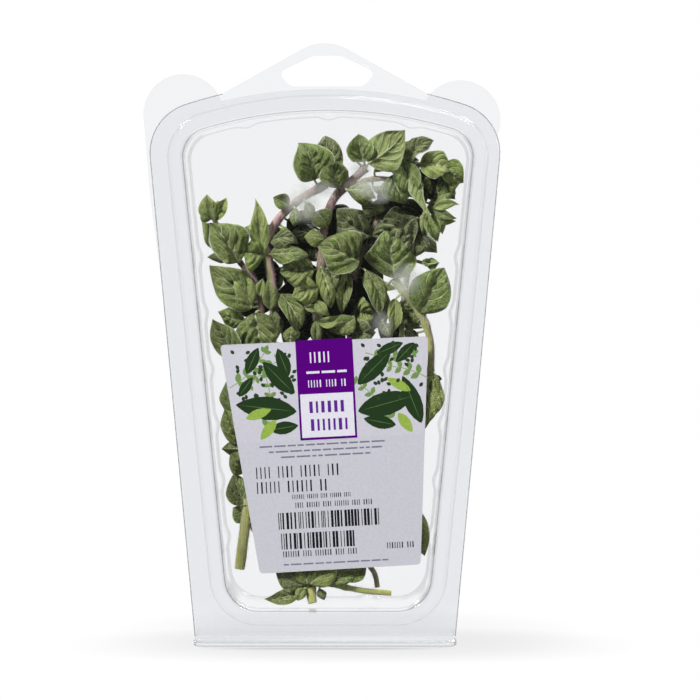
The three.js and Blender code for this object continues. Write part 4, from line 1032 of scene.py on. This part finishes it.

# ---- Far sprig ----
# The sprig on the right behind the others, with one big ribbed leaf painted dark as shade. Its lower end
# leans on the right sprig's stem.
sprig(
    "far",
    [(15.4, 9.3, 30.6), (22, 13.5, 55), (25, 14, 88), (26.7, 13, 115), (29.3, 11, 131.7), (32, 9.5, 141),
     (35, 9, 145.7), (37.7, 10, 151.7), (39.3, 10, 156)],
    (1.3, 0.9),
    [(0, STRAW), (0.5, GREEN), (1, GREEN)],
    [
        ((40, 8.4, 155.6), (46.2, 6.6, 155.4), 6.7, (0.1, -1, 0), 0.5, "fresh"),
        ((34.8, 6.8, 143.4), (38.4, 4.6, 134.8), 5.4, (0.3, -1, 0), 0.6, "bright"),
        ((30.4, 7.2, 143), (15.6, 5.4, 136.6), 13.9, (-0.1, -0.9, 0.4), 1.6, "shade",
         {"puff": 2.0, "fold": -0.2}),
        ((31, 7.4, 139.6), (30.4, 5.4, 128.6), 10.1, (0.3, -1, -0.1), 0.6, "shade"),
        ((24.4, 11, 43), (33, 8, 37), 9, (0, -1, 0), 0.6, "mid"),
        ((27, 16.4, 90), (34, 20, 99), 10.1, (0.1, 1, 0), 0.6, "dark"),
    ],
    [
        ((37.5, 8, 147), (38.8, 7, 156.4), 4, 0.4, "fresh", {"upper": (-0.6, -0.8, 0)}),
        ((36, 7.5, 144.3), (44, 6, 141.3), 3.6, 0.4, "pale"),
        ((35.5, 7.8, 145.5), (40.3, 6.5, 146.9), 3.8, 0.3, "fresh"),
        ((40, 8, 152), (44.2, 7, 151), 3.4, 0.3, "bright"),
        ((34.4, 6.6, 144.4), (33.6, 5.4, 136.4), 3.8, 0.3, "pale"),
        ((23, 16, 60), (32, 16, 53), 9, 0.5, "dark"),
        ((31, 10, 138), (37.6, 9, 130.6), 8.3, 0.5, "dark"),
        ((27.6, 8, 45), (34.2, 5, 28.5), 8.4, 0.4, "mid", {"fold": 0.15}),
        ((28, 12, 134), (20, 12, 128), 11.7, 0.5, "deep"),
        ((27, 13, 112), (33, 14, 104), 11.7, 0.5, "deep"),
        ((25, 13, 106), (20, 13, 99), 11.7, 0.5, "deep"),
        ((33, 11, 146), (24, 12, 142), 10.4, 0.5, "deep"),
        ((39.4, 7, 160.5), (46, 6, 153.6), 7.6, 0.6, "bright", {"fold": 0.3}),
        ((38, 8, 158), (36, 7, 149.5), 6.8, 0.5, "dark"),
        ((40, 9, 157), (43.6, 9, 148.6), 6.4, 0.5, "dark"),
        ((36.5, 5.6, 146), (45.2, 4.6, 147.6), 3.4, 0.4, "pale", {"blunt": 1.1}),
        ((36.5, 5.6, 146.4), (43.4, 4.8, 151.6), 3.6, 0.4, "mid", {"blunt": 1.1}),
        ((36.6, 5.8, 145.6), (44.6, 5, 142.4), 3.2, 0.4, "fresh", {"blunt": 1.1}),
        ((36.4, 5.4, 145), (40.6, 4.6, 137.6), 5.2, 0.4, "bright"),
        ((35, 7, 127.4), (32.6, 6, 128.4), 2.9, 0.3, "bright"),
        ((34, 7, 127), (38.4, 6, 128), 4, 0.3, "fresh", {"under": True}),
        ((34, 11, 148), (31, 12, 156), 7.8, 0.5, "deep"),
        ((26, 13, 141), (31, 13, 129), 10, 0.5, "deep"),
    ])

# ---- Low stub ----
# A short cut length of stem with one larger leaf. It lies on the tray's floor, at the foot of the pack.
sprig(
    "low",
    [(22.3, 4.6, 16), (13.3, 4.3, 16.8), (5, 4.6, 18.4), (-3.2, 5.6, 20.3)],
    (1.0, 1.0),
    [(0, STRAW), (1, GREEN)],
    [
        ((7, 3.6, 21), (14.4, 3, 25), 5.6, (0, -1, 0), 0.4, "mid"),
    ],
    [
        ((-8, 3, 17), (-20.6, 1.6, 14), 5, 0.4, "mid", {"fold": 0.2}),
        ((-2, 3.6, 17.5), (-0.6, 3, 13.4), 3.4, 0.3, "dark"),
        ((-7.6, 2.4, 19), (-16.4, 1.4, 24), 6.6, 0.4, "dark", {"fold": 0.15}),
        ((-6.2, 1.8, 19.4), (-9.4, 1.0, 31), 8, 0.3, "pale", {"fold": 0.15}),
        ((-5.2, 1.8, 19.6), (3.6, 1.2, 29), 9, 0.4, "pale", {"fold": 0.2}),
        ((-2, 3.2, 20), (13.4, 2, 24.2), 6.4, 0.4, "fresh", {"fold": 0.2}),
        ((-7, 1.8, 18), (-9.6, 1.2, 13.6), 3.4, 0.3, "pale", {"fold": 0.5}),
        ((-4.6, 4, 18), (-16, 3, 19.4), 7, 0.3, "dark"),
    ])


# ---- Lid half ----
# The same clear sheet: a flat face, a raised rim that snaps over the tray's bead, the hang tab with its hole,
# and the front half of the standing foot. Breath from the leaves has fogged it in patches.
LID_EDGE = {"bottom": 0.0, "top": 187.9, "half": 43.75, "lean": 0.09, "foot": 1.0, "shoulder": 17.0}


def lid_profile():
    crest = -SHEET - RIM_HEIGHT
    line = [(RIM_WIDTH + 1.5, -SHEET, 0), (RIM_WIDTH, -SHEET, 0), (RIM_WIDTH - RIM_DRAFT, crest, 0),
            (RIM_DRAFT, crest, 0), (0, -SHEET, 0), (-1, -SHEET, 0)]
    return softened(line, (0.22, 0.28, 0.4, 0.22))


def hang_tab():
    x, z, top = 7.5, 198.7, 200.6
    rise = top - z
    radius = (x * x + rise * rise) / (2 * rise)
    sweep = math.asin(x / radius)
    crown = arc(0, top - radius, radius, math.pi / 2 - sweep, math.pi / 2 + sweep, 16)
    return [(-34.1, 180), (34.1, 180), (34.1, 183.9)] + crown + [(-34.1, 183.9)]


def rounded_polygon(corners, radius):
    points = []
    for k, corner in enumerate(corners):
        at = Vector(corner)
        a, b = Vector(corners[k - 1]) - at, Vector(corners[(k + 1) % len(corners)]) - at
        cut = min(radius, a.length * MOST_CUT, b.length * MOST_CUT)
        start, end = at + a.normalized() * cut, at + b.normalized() * cut
        for t in (0.0, 0.2, 0.4, 0.6, 0.8, 1.0):
            points.append(tuple(start * (1 - t) ** 2 + at * 2 * t * (1 - t) + end * t * t))
    return points


hang_hole = rounded_polygon([(-11.6, 186.3), (13.0, 186.3), (16.1, 189.9), (15.7, 191.7), (5.3, 196.7),
                             (-3.9, 196.7), (-14.3, 191.7), (-14.7, 189.9)], 1.6)
fogged = clear_sheet("clear_pet_lid", (0.992, 0.994, 0.997, 1), haze=(
    (-7, 148, 8, 8, 0.5), (12, 159, 5, 4, 0.45), (15, 153, 10, 4.5, 0.5), (27, 122, 7, 7, 0.45),
    (19, 107, 5, 6, 0.25), (-1, 152, 6, 4, 0.35), (18, 150, 5, 3.5, 0.4)))
lid = formed_sheet(
    "lid_sheet", lid_profile(), {0: 4, 1: 3, 3: 4}, LID_EDGE, [hang_tab()], [hang_hole], -SHEET,
    [(0.7, 2.1, 0.4), (0.3, 2.0, 0.4), (0.08, 1.75, 0.4), (0.0, 1.4, 0.4), (0.0, 0.7, 1.35),
     (0.08, 0.35, 1.35), (0.3, 0.08, 1.35), (0.7, 0.0, 1.35)],
    {1: 4, 2: 4, 4: 4, 5: 3, 6: 3}, -10.7, fogged)
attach(lid, "lid")
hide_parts("front_shell")


# ---- Label ----
# Coated paper stuck to the lid's face, narrower at its foot, with a generic print: a band of leaf sprays, a
# plain panel, and bars where a real label has its wording and its codes.
LABEL_MIDDLE, LABEL_TILT = Vector((2.2, 63.5)), math.radians(3)
LABEL_CORNERS = [(-26.2, -38.9), (27.9, -38.6), (34.3, 37.9), (-35.4, 38.6)]
LABEL_FRONT, LABEL_BACK = -0.7, -0.5
PRINT_ROOT, NEXT_SHAPE, BAND_GAP = 0.02, 0.0001, 0.2
STALK_HALF, LEAFLET_WIDTH, LEAFLET_SPLAY, STALK_BEND, LEAFLET_PARTS = 0.16, 0.62, 1.0, 0.12, 16


def printed_finish(name, colour, roughness=0.6, grain=0.25, shine=0.15):
    material, tree, place = new_finish(name)
    fibre, cloud = speckle(tree, place, 1200.0, 3.0), speckle(tree, place, 60.0)
    worn = times(tree, ramp(tree, fibre, 0.3, 0.7), ramp(tree, cloud, 0.2, 0.8, 0.8, 1.0))
    worn = times(tree, worn, grain)
    tone = blend_colours(tree, worn, paint(colour), paint("9a9a9a"), "MULTIPLY")
    normal = put(tree, "ShaderNodeBump", {"Strength": 0.3, "Distance": 0.00003, "Height": fibre}).outputs[0]
    finish_with(tree, put(tree, "ShaderNodeBsdfPrincipled", {
        "Base Color": tone, "Roughness": roughness, "Specular IOR Level": shine, "Normal": normal}))
    return material


def on_label(x, z):
    cos, sin = math.cos(LABEL_TILT), math.sin(LABEL_TILT)
    return LABEL_MIDDLE.x + x * cos - z * sin, LABEL_MIDDLE.y + x * sin + z * cos


def printed(name, shapes, front, back, material):
    """Flat prisms on the label, from outlines drawn counter-clockwise about its middle."""
    points, faces = [], []
    for k, shape in enumerate(shapes):
        first, count = len(points), len(shape)
        flat = [on_label(x, z) for x, z in shape]
        points += [(x, front - NEXT_SHAPE * k, z) for x, z in flat] + [(x, back, z) for x, z in flat]
        faces.append(list(range(first, first + count)))
        faces.append(list(range(first + 2 * count - 1, first + count - 1, -1)))
        for j in range(count):
            on = (j + 1) % count
            faces.append([first + on, first + j, first + count + j, first + count + on])
    piece = add_mesh(name, points, faces, [material])
    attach(piece, "lid")
    return piece


def print_layer(name, shapes, stand, ink, *finish):
    """One ink of the print, standing out by `stand` millimetres from the paper that it is rooted in."""
    material = printed_finish(ink, *finish)
    printed(name, shapes, LABEL_FRONT - stand, LABEL_FRONT + PRINT_ROOT, material)


def bar(x0, x1, z0, z1):
    return [(x0, z0), (x1, z0), (x1, z1), (x0, z1)]


def edge_of_label(z, side):
    """A place just inside the label's left or right edge, at a height."""
    low, high = (LABEL_CORNERS[0], LABEL_CORNERS[3]) if side < 0 else (LABEL_CORNERS[1], LABEL_CORNERS[2])
    return low[0] + (high[0] - low[0]) * (z - low[1]) / (high[1] - low[1]) - side * BAND_GAP, z


def word_bars(x, z, width, high, seed, heavy=0.13):
    """A line of wording: small print as a row of plain bars, larger print as runs of upright strokes."""
    chance, bars, start = random.Random(seed), [], x
    while start < x + width - 1.5:
        if high < 1:
            long = min(chance.uniform(1.6, 6.5) * (0.6 + 0.25 * high), x + width - start)
            bars.append(bar(start, start + long, z, z + high))
            start += long + 0.45 + 0.35 * high
            continue
        for _ in range(chance.randint(4, 7)):
            thick = heavy * high * chance.choice((1.0, 1.0, 1.5))
            if start < x + width - thick:
                bars.append(bar(start, start + thick, z, z + high))
            start += thick + 0.27 * high
        start += 0.45 * high
    return bars


def code_bars(x, z, width, high, seed):
    """A generic run of upright stripes."""
    chance, bars, start = random.Random(seed), [], x
    while start < x + width - 0.9:
        thick = chance.choice((0.27, 0.27, 0.54, 0.81))
        bars.append(bar(start, start + thick, z, z + high))
        start += thick + chance.choice((0.27, 0.4, 0.54, 0.81))
    return bars


def leaflet(x, z, turn, long, wide):
    cos, sin = math.cos(turn), math.sin(turn)
    shape = []
    for k in range(LEAFLET_PARTS):
        a = math.tau * k / LEAFLET_PARTS
        u = 0.5 - 0.5 * math.cos(a)
        w = math.sin(a) * math.sin(math.pi * u ** 0.8) ** 0.35
        px, pz = u * long, -w * wide / 2
        shape.append((x + px * cos - pz * sin, z + px * sin + pz * cos))
    return shape


def spray(x, z, turn, long, pairs, size):
    """A drawn sprig: a bent stalk with pairs of round leaflets and one at its end."""
    stalk, leaflets, px, pz, angle = [], [], x, z, turn
    step = long / pairs
    for k in range(pairs):
        nx, nz = px + step * math.cos(angle), pz + step * math.sin(angle)
        dx, dz = -math.sin(angle) * STALK_HALF, math.cos(angle) * STALK_HALF
        stalk.append([(px - dx, pz - dz), (nx - dx, nz - dz), (nx + dx, nz + dz), (px + dx, pz + dz)])
        grown = size * (1 - 0.4 * k / pairs)
        for splay in (LEAFLET_SPLAY, -LEAFLET_SPLAY):
            leaflets.append(leaflet(nx, nz, angle + splay, grown, grown * LEAFLET_WIDTH))
        px, pz, angle = nx, nz, angle + STALK_BEND
    leaflets.append(leaflet(px, pz, angle, size * 0.8, size * 0.5))
    return stalk, leaflets


paper = printed_finish("label_paper", "bdbdc5", 0.55, 0.12)
sheet_of_paper = printed("label_sheet", [rounded_polygon(LABEL_CORNERS, 1.5)], LABEL_FRONT, LABEL_BACK, paper)
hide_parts("label")

band_top, band_foot = 37.6, 5.4
band = [edge_of_label(z, side) for z, side in (
    (band_foot, -1), (band_foot, 1), (band_top, 1), (band_top, -1))]
print_layer("label_band", [rounded_polygon(band, 1.2)], 0.008, "print_band", "c1c0c9", 0.55, 0.12)

stalks, small_leaflets = [], []
for sketch in ((-33, 24, 0.5, 17, 5, 3.4), (-12, 34, 3.5, 17, 5, 2.8), (-22, 7.5, 1.2, 20, 6, 3.0),
               (33.4, 24, 2.6, 16, 5, 3.2), (13, 33.5, -0.3, 16, 5, 2.8), (21, 8, 1.9, 20, 6, 3.2)):
    stalk, leaflets = spray(*sketch)
    stalks += stalk
    small_leaflets += leaflets
chance = random.Random(8)
seeds = []
for middle in (-21.5, 21):
    for k in range(42):
        x, z = middle + chance.uniform(-10, 10), chance.uniform(17, 36)
        seeds.append(leaflet(x, z, chance.uniform(0, 3), 1.7, 1.2))
large_leaves, ribs = [], []
for x, z, turn, long, wide in (
        (-11, 15, 2.98, 20.5, 8), (-11.4, 21, 2.3, 15, 6), (-27, 28.5, 1.1, 9.6, 4.2),
        (-13, 27, 1.9, 10, 4.6), (-20, 9.2, 0.12, 9.4, 4.4), (-30, 21, 0.9, 8, 3.4), (22, 8.8, 2.9, 11, 4.6),
        (17, 33, 0.35, 9.4, 3.8), (9.6, 14, 0.22, 20, 8), (10, 23, 0.75, 16, 6), (30.6, 9, 1.9, 17, 6),
        (29.6, 36, 3.9, 9, 4)):
    large_leaves.append(leaflet(x, z, turn, long, wide))
    x, z = x + 0.08 * long * math.cos(turn), z + 0.08 * long * math.sin(turn)
    ribs.append(leaflet(x, z, turn, long * 0.86, 0.24))
fresh_leaves = [leaflet(*drawn) for drawn in (
    (-18, 12.5, 4.0, 8.4, 3.6), (-28, 13.5, 0.3, 9, 3.4), (23, 12.8, 5.3, 8, 3.6), (27.5, 20, 2.6, 9, 3.2))]
white = [bar(-9.5, 8.2, 6.0, 20.6)] + word_bars(-5.6, 31.0, 10, 3.6, 4)
white += word_bars(-7, 27.4, 13.6, 0.8, 6) + word_bars(-6.6, 22.8, 12.8, 2.4, 8)
violet = word_bars(-6.6, 14.2, 13, 3.9, 5, 0.19) + word_bars(-6.4, 8.2, 12.8, 3.9, 9, 0.19)
fine = []
for row, (x, width) in enumerate(((-24, 42), (-21, 38), (-17, 30))):
    fine += word_bars(x, 3.4 - 1.9 * row, width, 0.55, row)
fine += word_bars(-18, -36.6, 36, 0.5, 21)
ink = word_bars(-25.6, -7.0, 28, 3.9, 31, 0.09) + word_bars(-25.6, -12.0, 24, 3.9, 35, 0.09)
ink += word_bars(-14, -14.4, 21, 1.5, 41) + word_bars(-13, -17.4, 26, 1.8, 43)
ink += code_bars(-19, -24.4, 35, 5.6, 51) + code_bars(-18.4, -31.2, 25, 5.4, 57)
ink += word_bars(-18, -33.8, 25, 2.0, 61) + word_bars(17, -32.6, 9, 2.0, 65)
print_layer("label_stalks", stalks, 0.011, "print_stalk", "8ba064")
print_layer("label_light_leaves", small_leaflets, 0.014, "print_light_green", "6d8a4c")
print_layer("label_seeds", seeds, 0.018, "print_seed", "273a1e")
print_layer("label_dark_leaves", large_leaves, 0.022, "print_dark_green", "1c3216")
print_layer("label_fresh_leaves", fresh_leaves, 0.025, "print_fresh_green", "8faa48")
print_layer("label_ribs", ribs, 0.027, "print_rib", "4f6e3c")
print_layer("label_panel", [bar(-10.2, 8.9, 5.2, 38.7)], 0.031, "print_purple", "520374", 0.6, 0.1, 0.02)
print_layer("label_white", white, 0.036, "print_white", "d6d5de", 0.55, 0.12)
print_layer("label_panel_bars", violet, 0.041, "print_violet", "5a2088")
print_layer("label_small_words", fine, 0.008, "print_grey", "77738a")
print_layer("label_ink", ink, 0.008, "print_ink", "0e0d12")


# ---- Studio ----
# A white room with four soft lamps, most of the light from above and in front, a floor that shows only as a
# soft shadow painted under the pack, and a camera a little above the pack's middle.
scene = bpy.context.scene
scene.view_settings.view_transform = "Standard"
scene.cycles.transparent_max_bounces = 64

camera = bpy.data.objects.new("camera", bpy.data.cameras.new("camera"))
camera.data.lens = 123
camera.data.sensor_width = 36
EYE, LOOKS_AT = Vector((0.00835, -0.8, 0.135)), Vector((0.00835, 0, 0.0985))
camera.location = EYE
camera.rotation_euler = (LOOKS_AT - camera.location).to_track_quat("-Z", "Y").to_euler()
scene.collection.objects.link(camera)
scene.camera = camera

world = bpy.data.worlds.new("room")
scene.world = world
world.use_nodes = True
sky = world.node_tree
sky.nodes.clear()
way = put(sky, "ShaderNodeSeparateXYZ", {0: put(sky, "ShaderNodeTexCoord").outputs["Generated"]}).outputs
level = reckon(sky, "ADD", 0.08, ramp(sky, way["Z"], 0.25, 0.9, 0.0, 0.55))
level = reckon(sky, "ADD", level, ramp(sky, way["Z"], -0.55, -0.12, 0.6, 0.0))
level = reckon(sky, "ADD", level, ramp(sky, way["Y"], 0.0, 0.7, 0.0, 0.2))
rise = reckon(sky, "MULTIPLY_ADD", way["Z"], 0.5, -0.01)
swing = reckon(sky, "ADD", reckon(sky, "POWER", way["X"], 2.0), reckon(sky, "POWER", rise, 2.0))
swing = reckon(sky, "SQRT", swing)
behind = times(sky, ramp(sky, swing, 0.16, 0.20, 0.7, 0.0), ramp(sky, way["Y"], 0.5, 0.9))
level = reckon(sky, "ADD", level, behind)
path = put(sky, "ShaderNodeLightPath").outputs
level = times(sky, level, reckon(sky, "MULTIPLY_ADD", path["Is Diffuse Ray"], -0.80, 1.0))
seen = path["Is Camera Ray"]
level = reckon(sky, "ADD", times(sky, level, reckon(sky, "SUBTRACT", 1.0, seen)), seen)
room = put(sky, "ShaderNodeBackground", {"Color": (1, 1, 1, 1), "Strength": level})
put(sky, "ShaderNodeOutputWorld", {"Surface": room.outputs[0]})

# Painted shadow: three soft pools under the foot tint the otherwise clear floor; no lamp casts them.
painted_floor_shadow, ground, place = new_finish("floor_painted_shadow")
spot = put(ground, "ShaderNodeSeparateXYZ", {0: place}).outputs
shade = None
for x, y, wide, deep, strength in ((0.009, -0.003, 0.102, 0.040, 0.10), (0.008, 0.02, 0.088, 0.058, 0.07),
                                   (0.0, -0.0113, 0.045, 0.0024, 0.21)):
    across, inward = off_centre(ground, spot["X"], x, wide), off_centre(ground, spot["Y"], y, deep)
    far = reckon(ground, "ADD", reckon(ground, "POWER", reckon(ground, "ABSOLUTE", across), 2.4),
                 reckon(ground, "POWER", reckon(ground, "ABSOLUTE", inward), 2.4))
    shadow_pool = ramp(ground, far, 0.0, 1.0, strength, 0.0)
    shade = shadow_pool if shade is None else reckon(ground, "ADD", shade, shadow_pool)
light = reckon(ground, "SUBTRACT", 1.0, shade)
shaded = put(ground, "ShaderNodeCombineColor", {0: light, 1: light, 2: light}).outputs[0]
finish_with(ground, put(ground, "ShaderNodeBsdfTransparent", {"Color": shaded}))
FLOOR, DROP = 2000, -0.3
floor = add_mesh("floor", [(-FLOOR, -FLOOR, DROP), (FLOOR, -FLOOR, DROP), (FLOOR, FLOOR, DROP),
                           (-FLOOR, FLOOR, DROP)], [(0, 1, 2, 3)], [painted_floor_shadow])

AIM = Vector((0, 0, 0.1))
for name, place, size, power in (
        ("key", (-2.2, -2.0, 2.6), (0.7, 0.7), 272.0), ("fill", (1.7, -1.3, 0.7), (0.7, 1.0), 15.0),
        ("top", (0.3, 0.1, 2.0), (0.6, 0.5), 22.0), ("back", (0.9, 2.2, 1.5), (0.9, 0.9), 60.0)):
    lamp = bpy.data.objects.new(name, bpy.data.lights.new(name, "AREA"))
    lamp.data.shape = "RECTANGLE"
    lamp.data.size, lamp.data.size_y = size
    lamp.data.energy = power
    lamp.location = place
    lamp.rotation_euler = (AIM - lamp.location).to_track_quat("-Z", "Y").to_euler()
    scene.collection.objects.link(lamp)
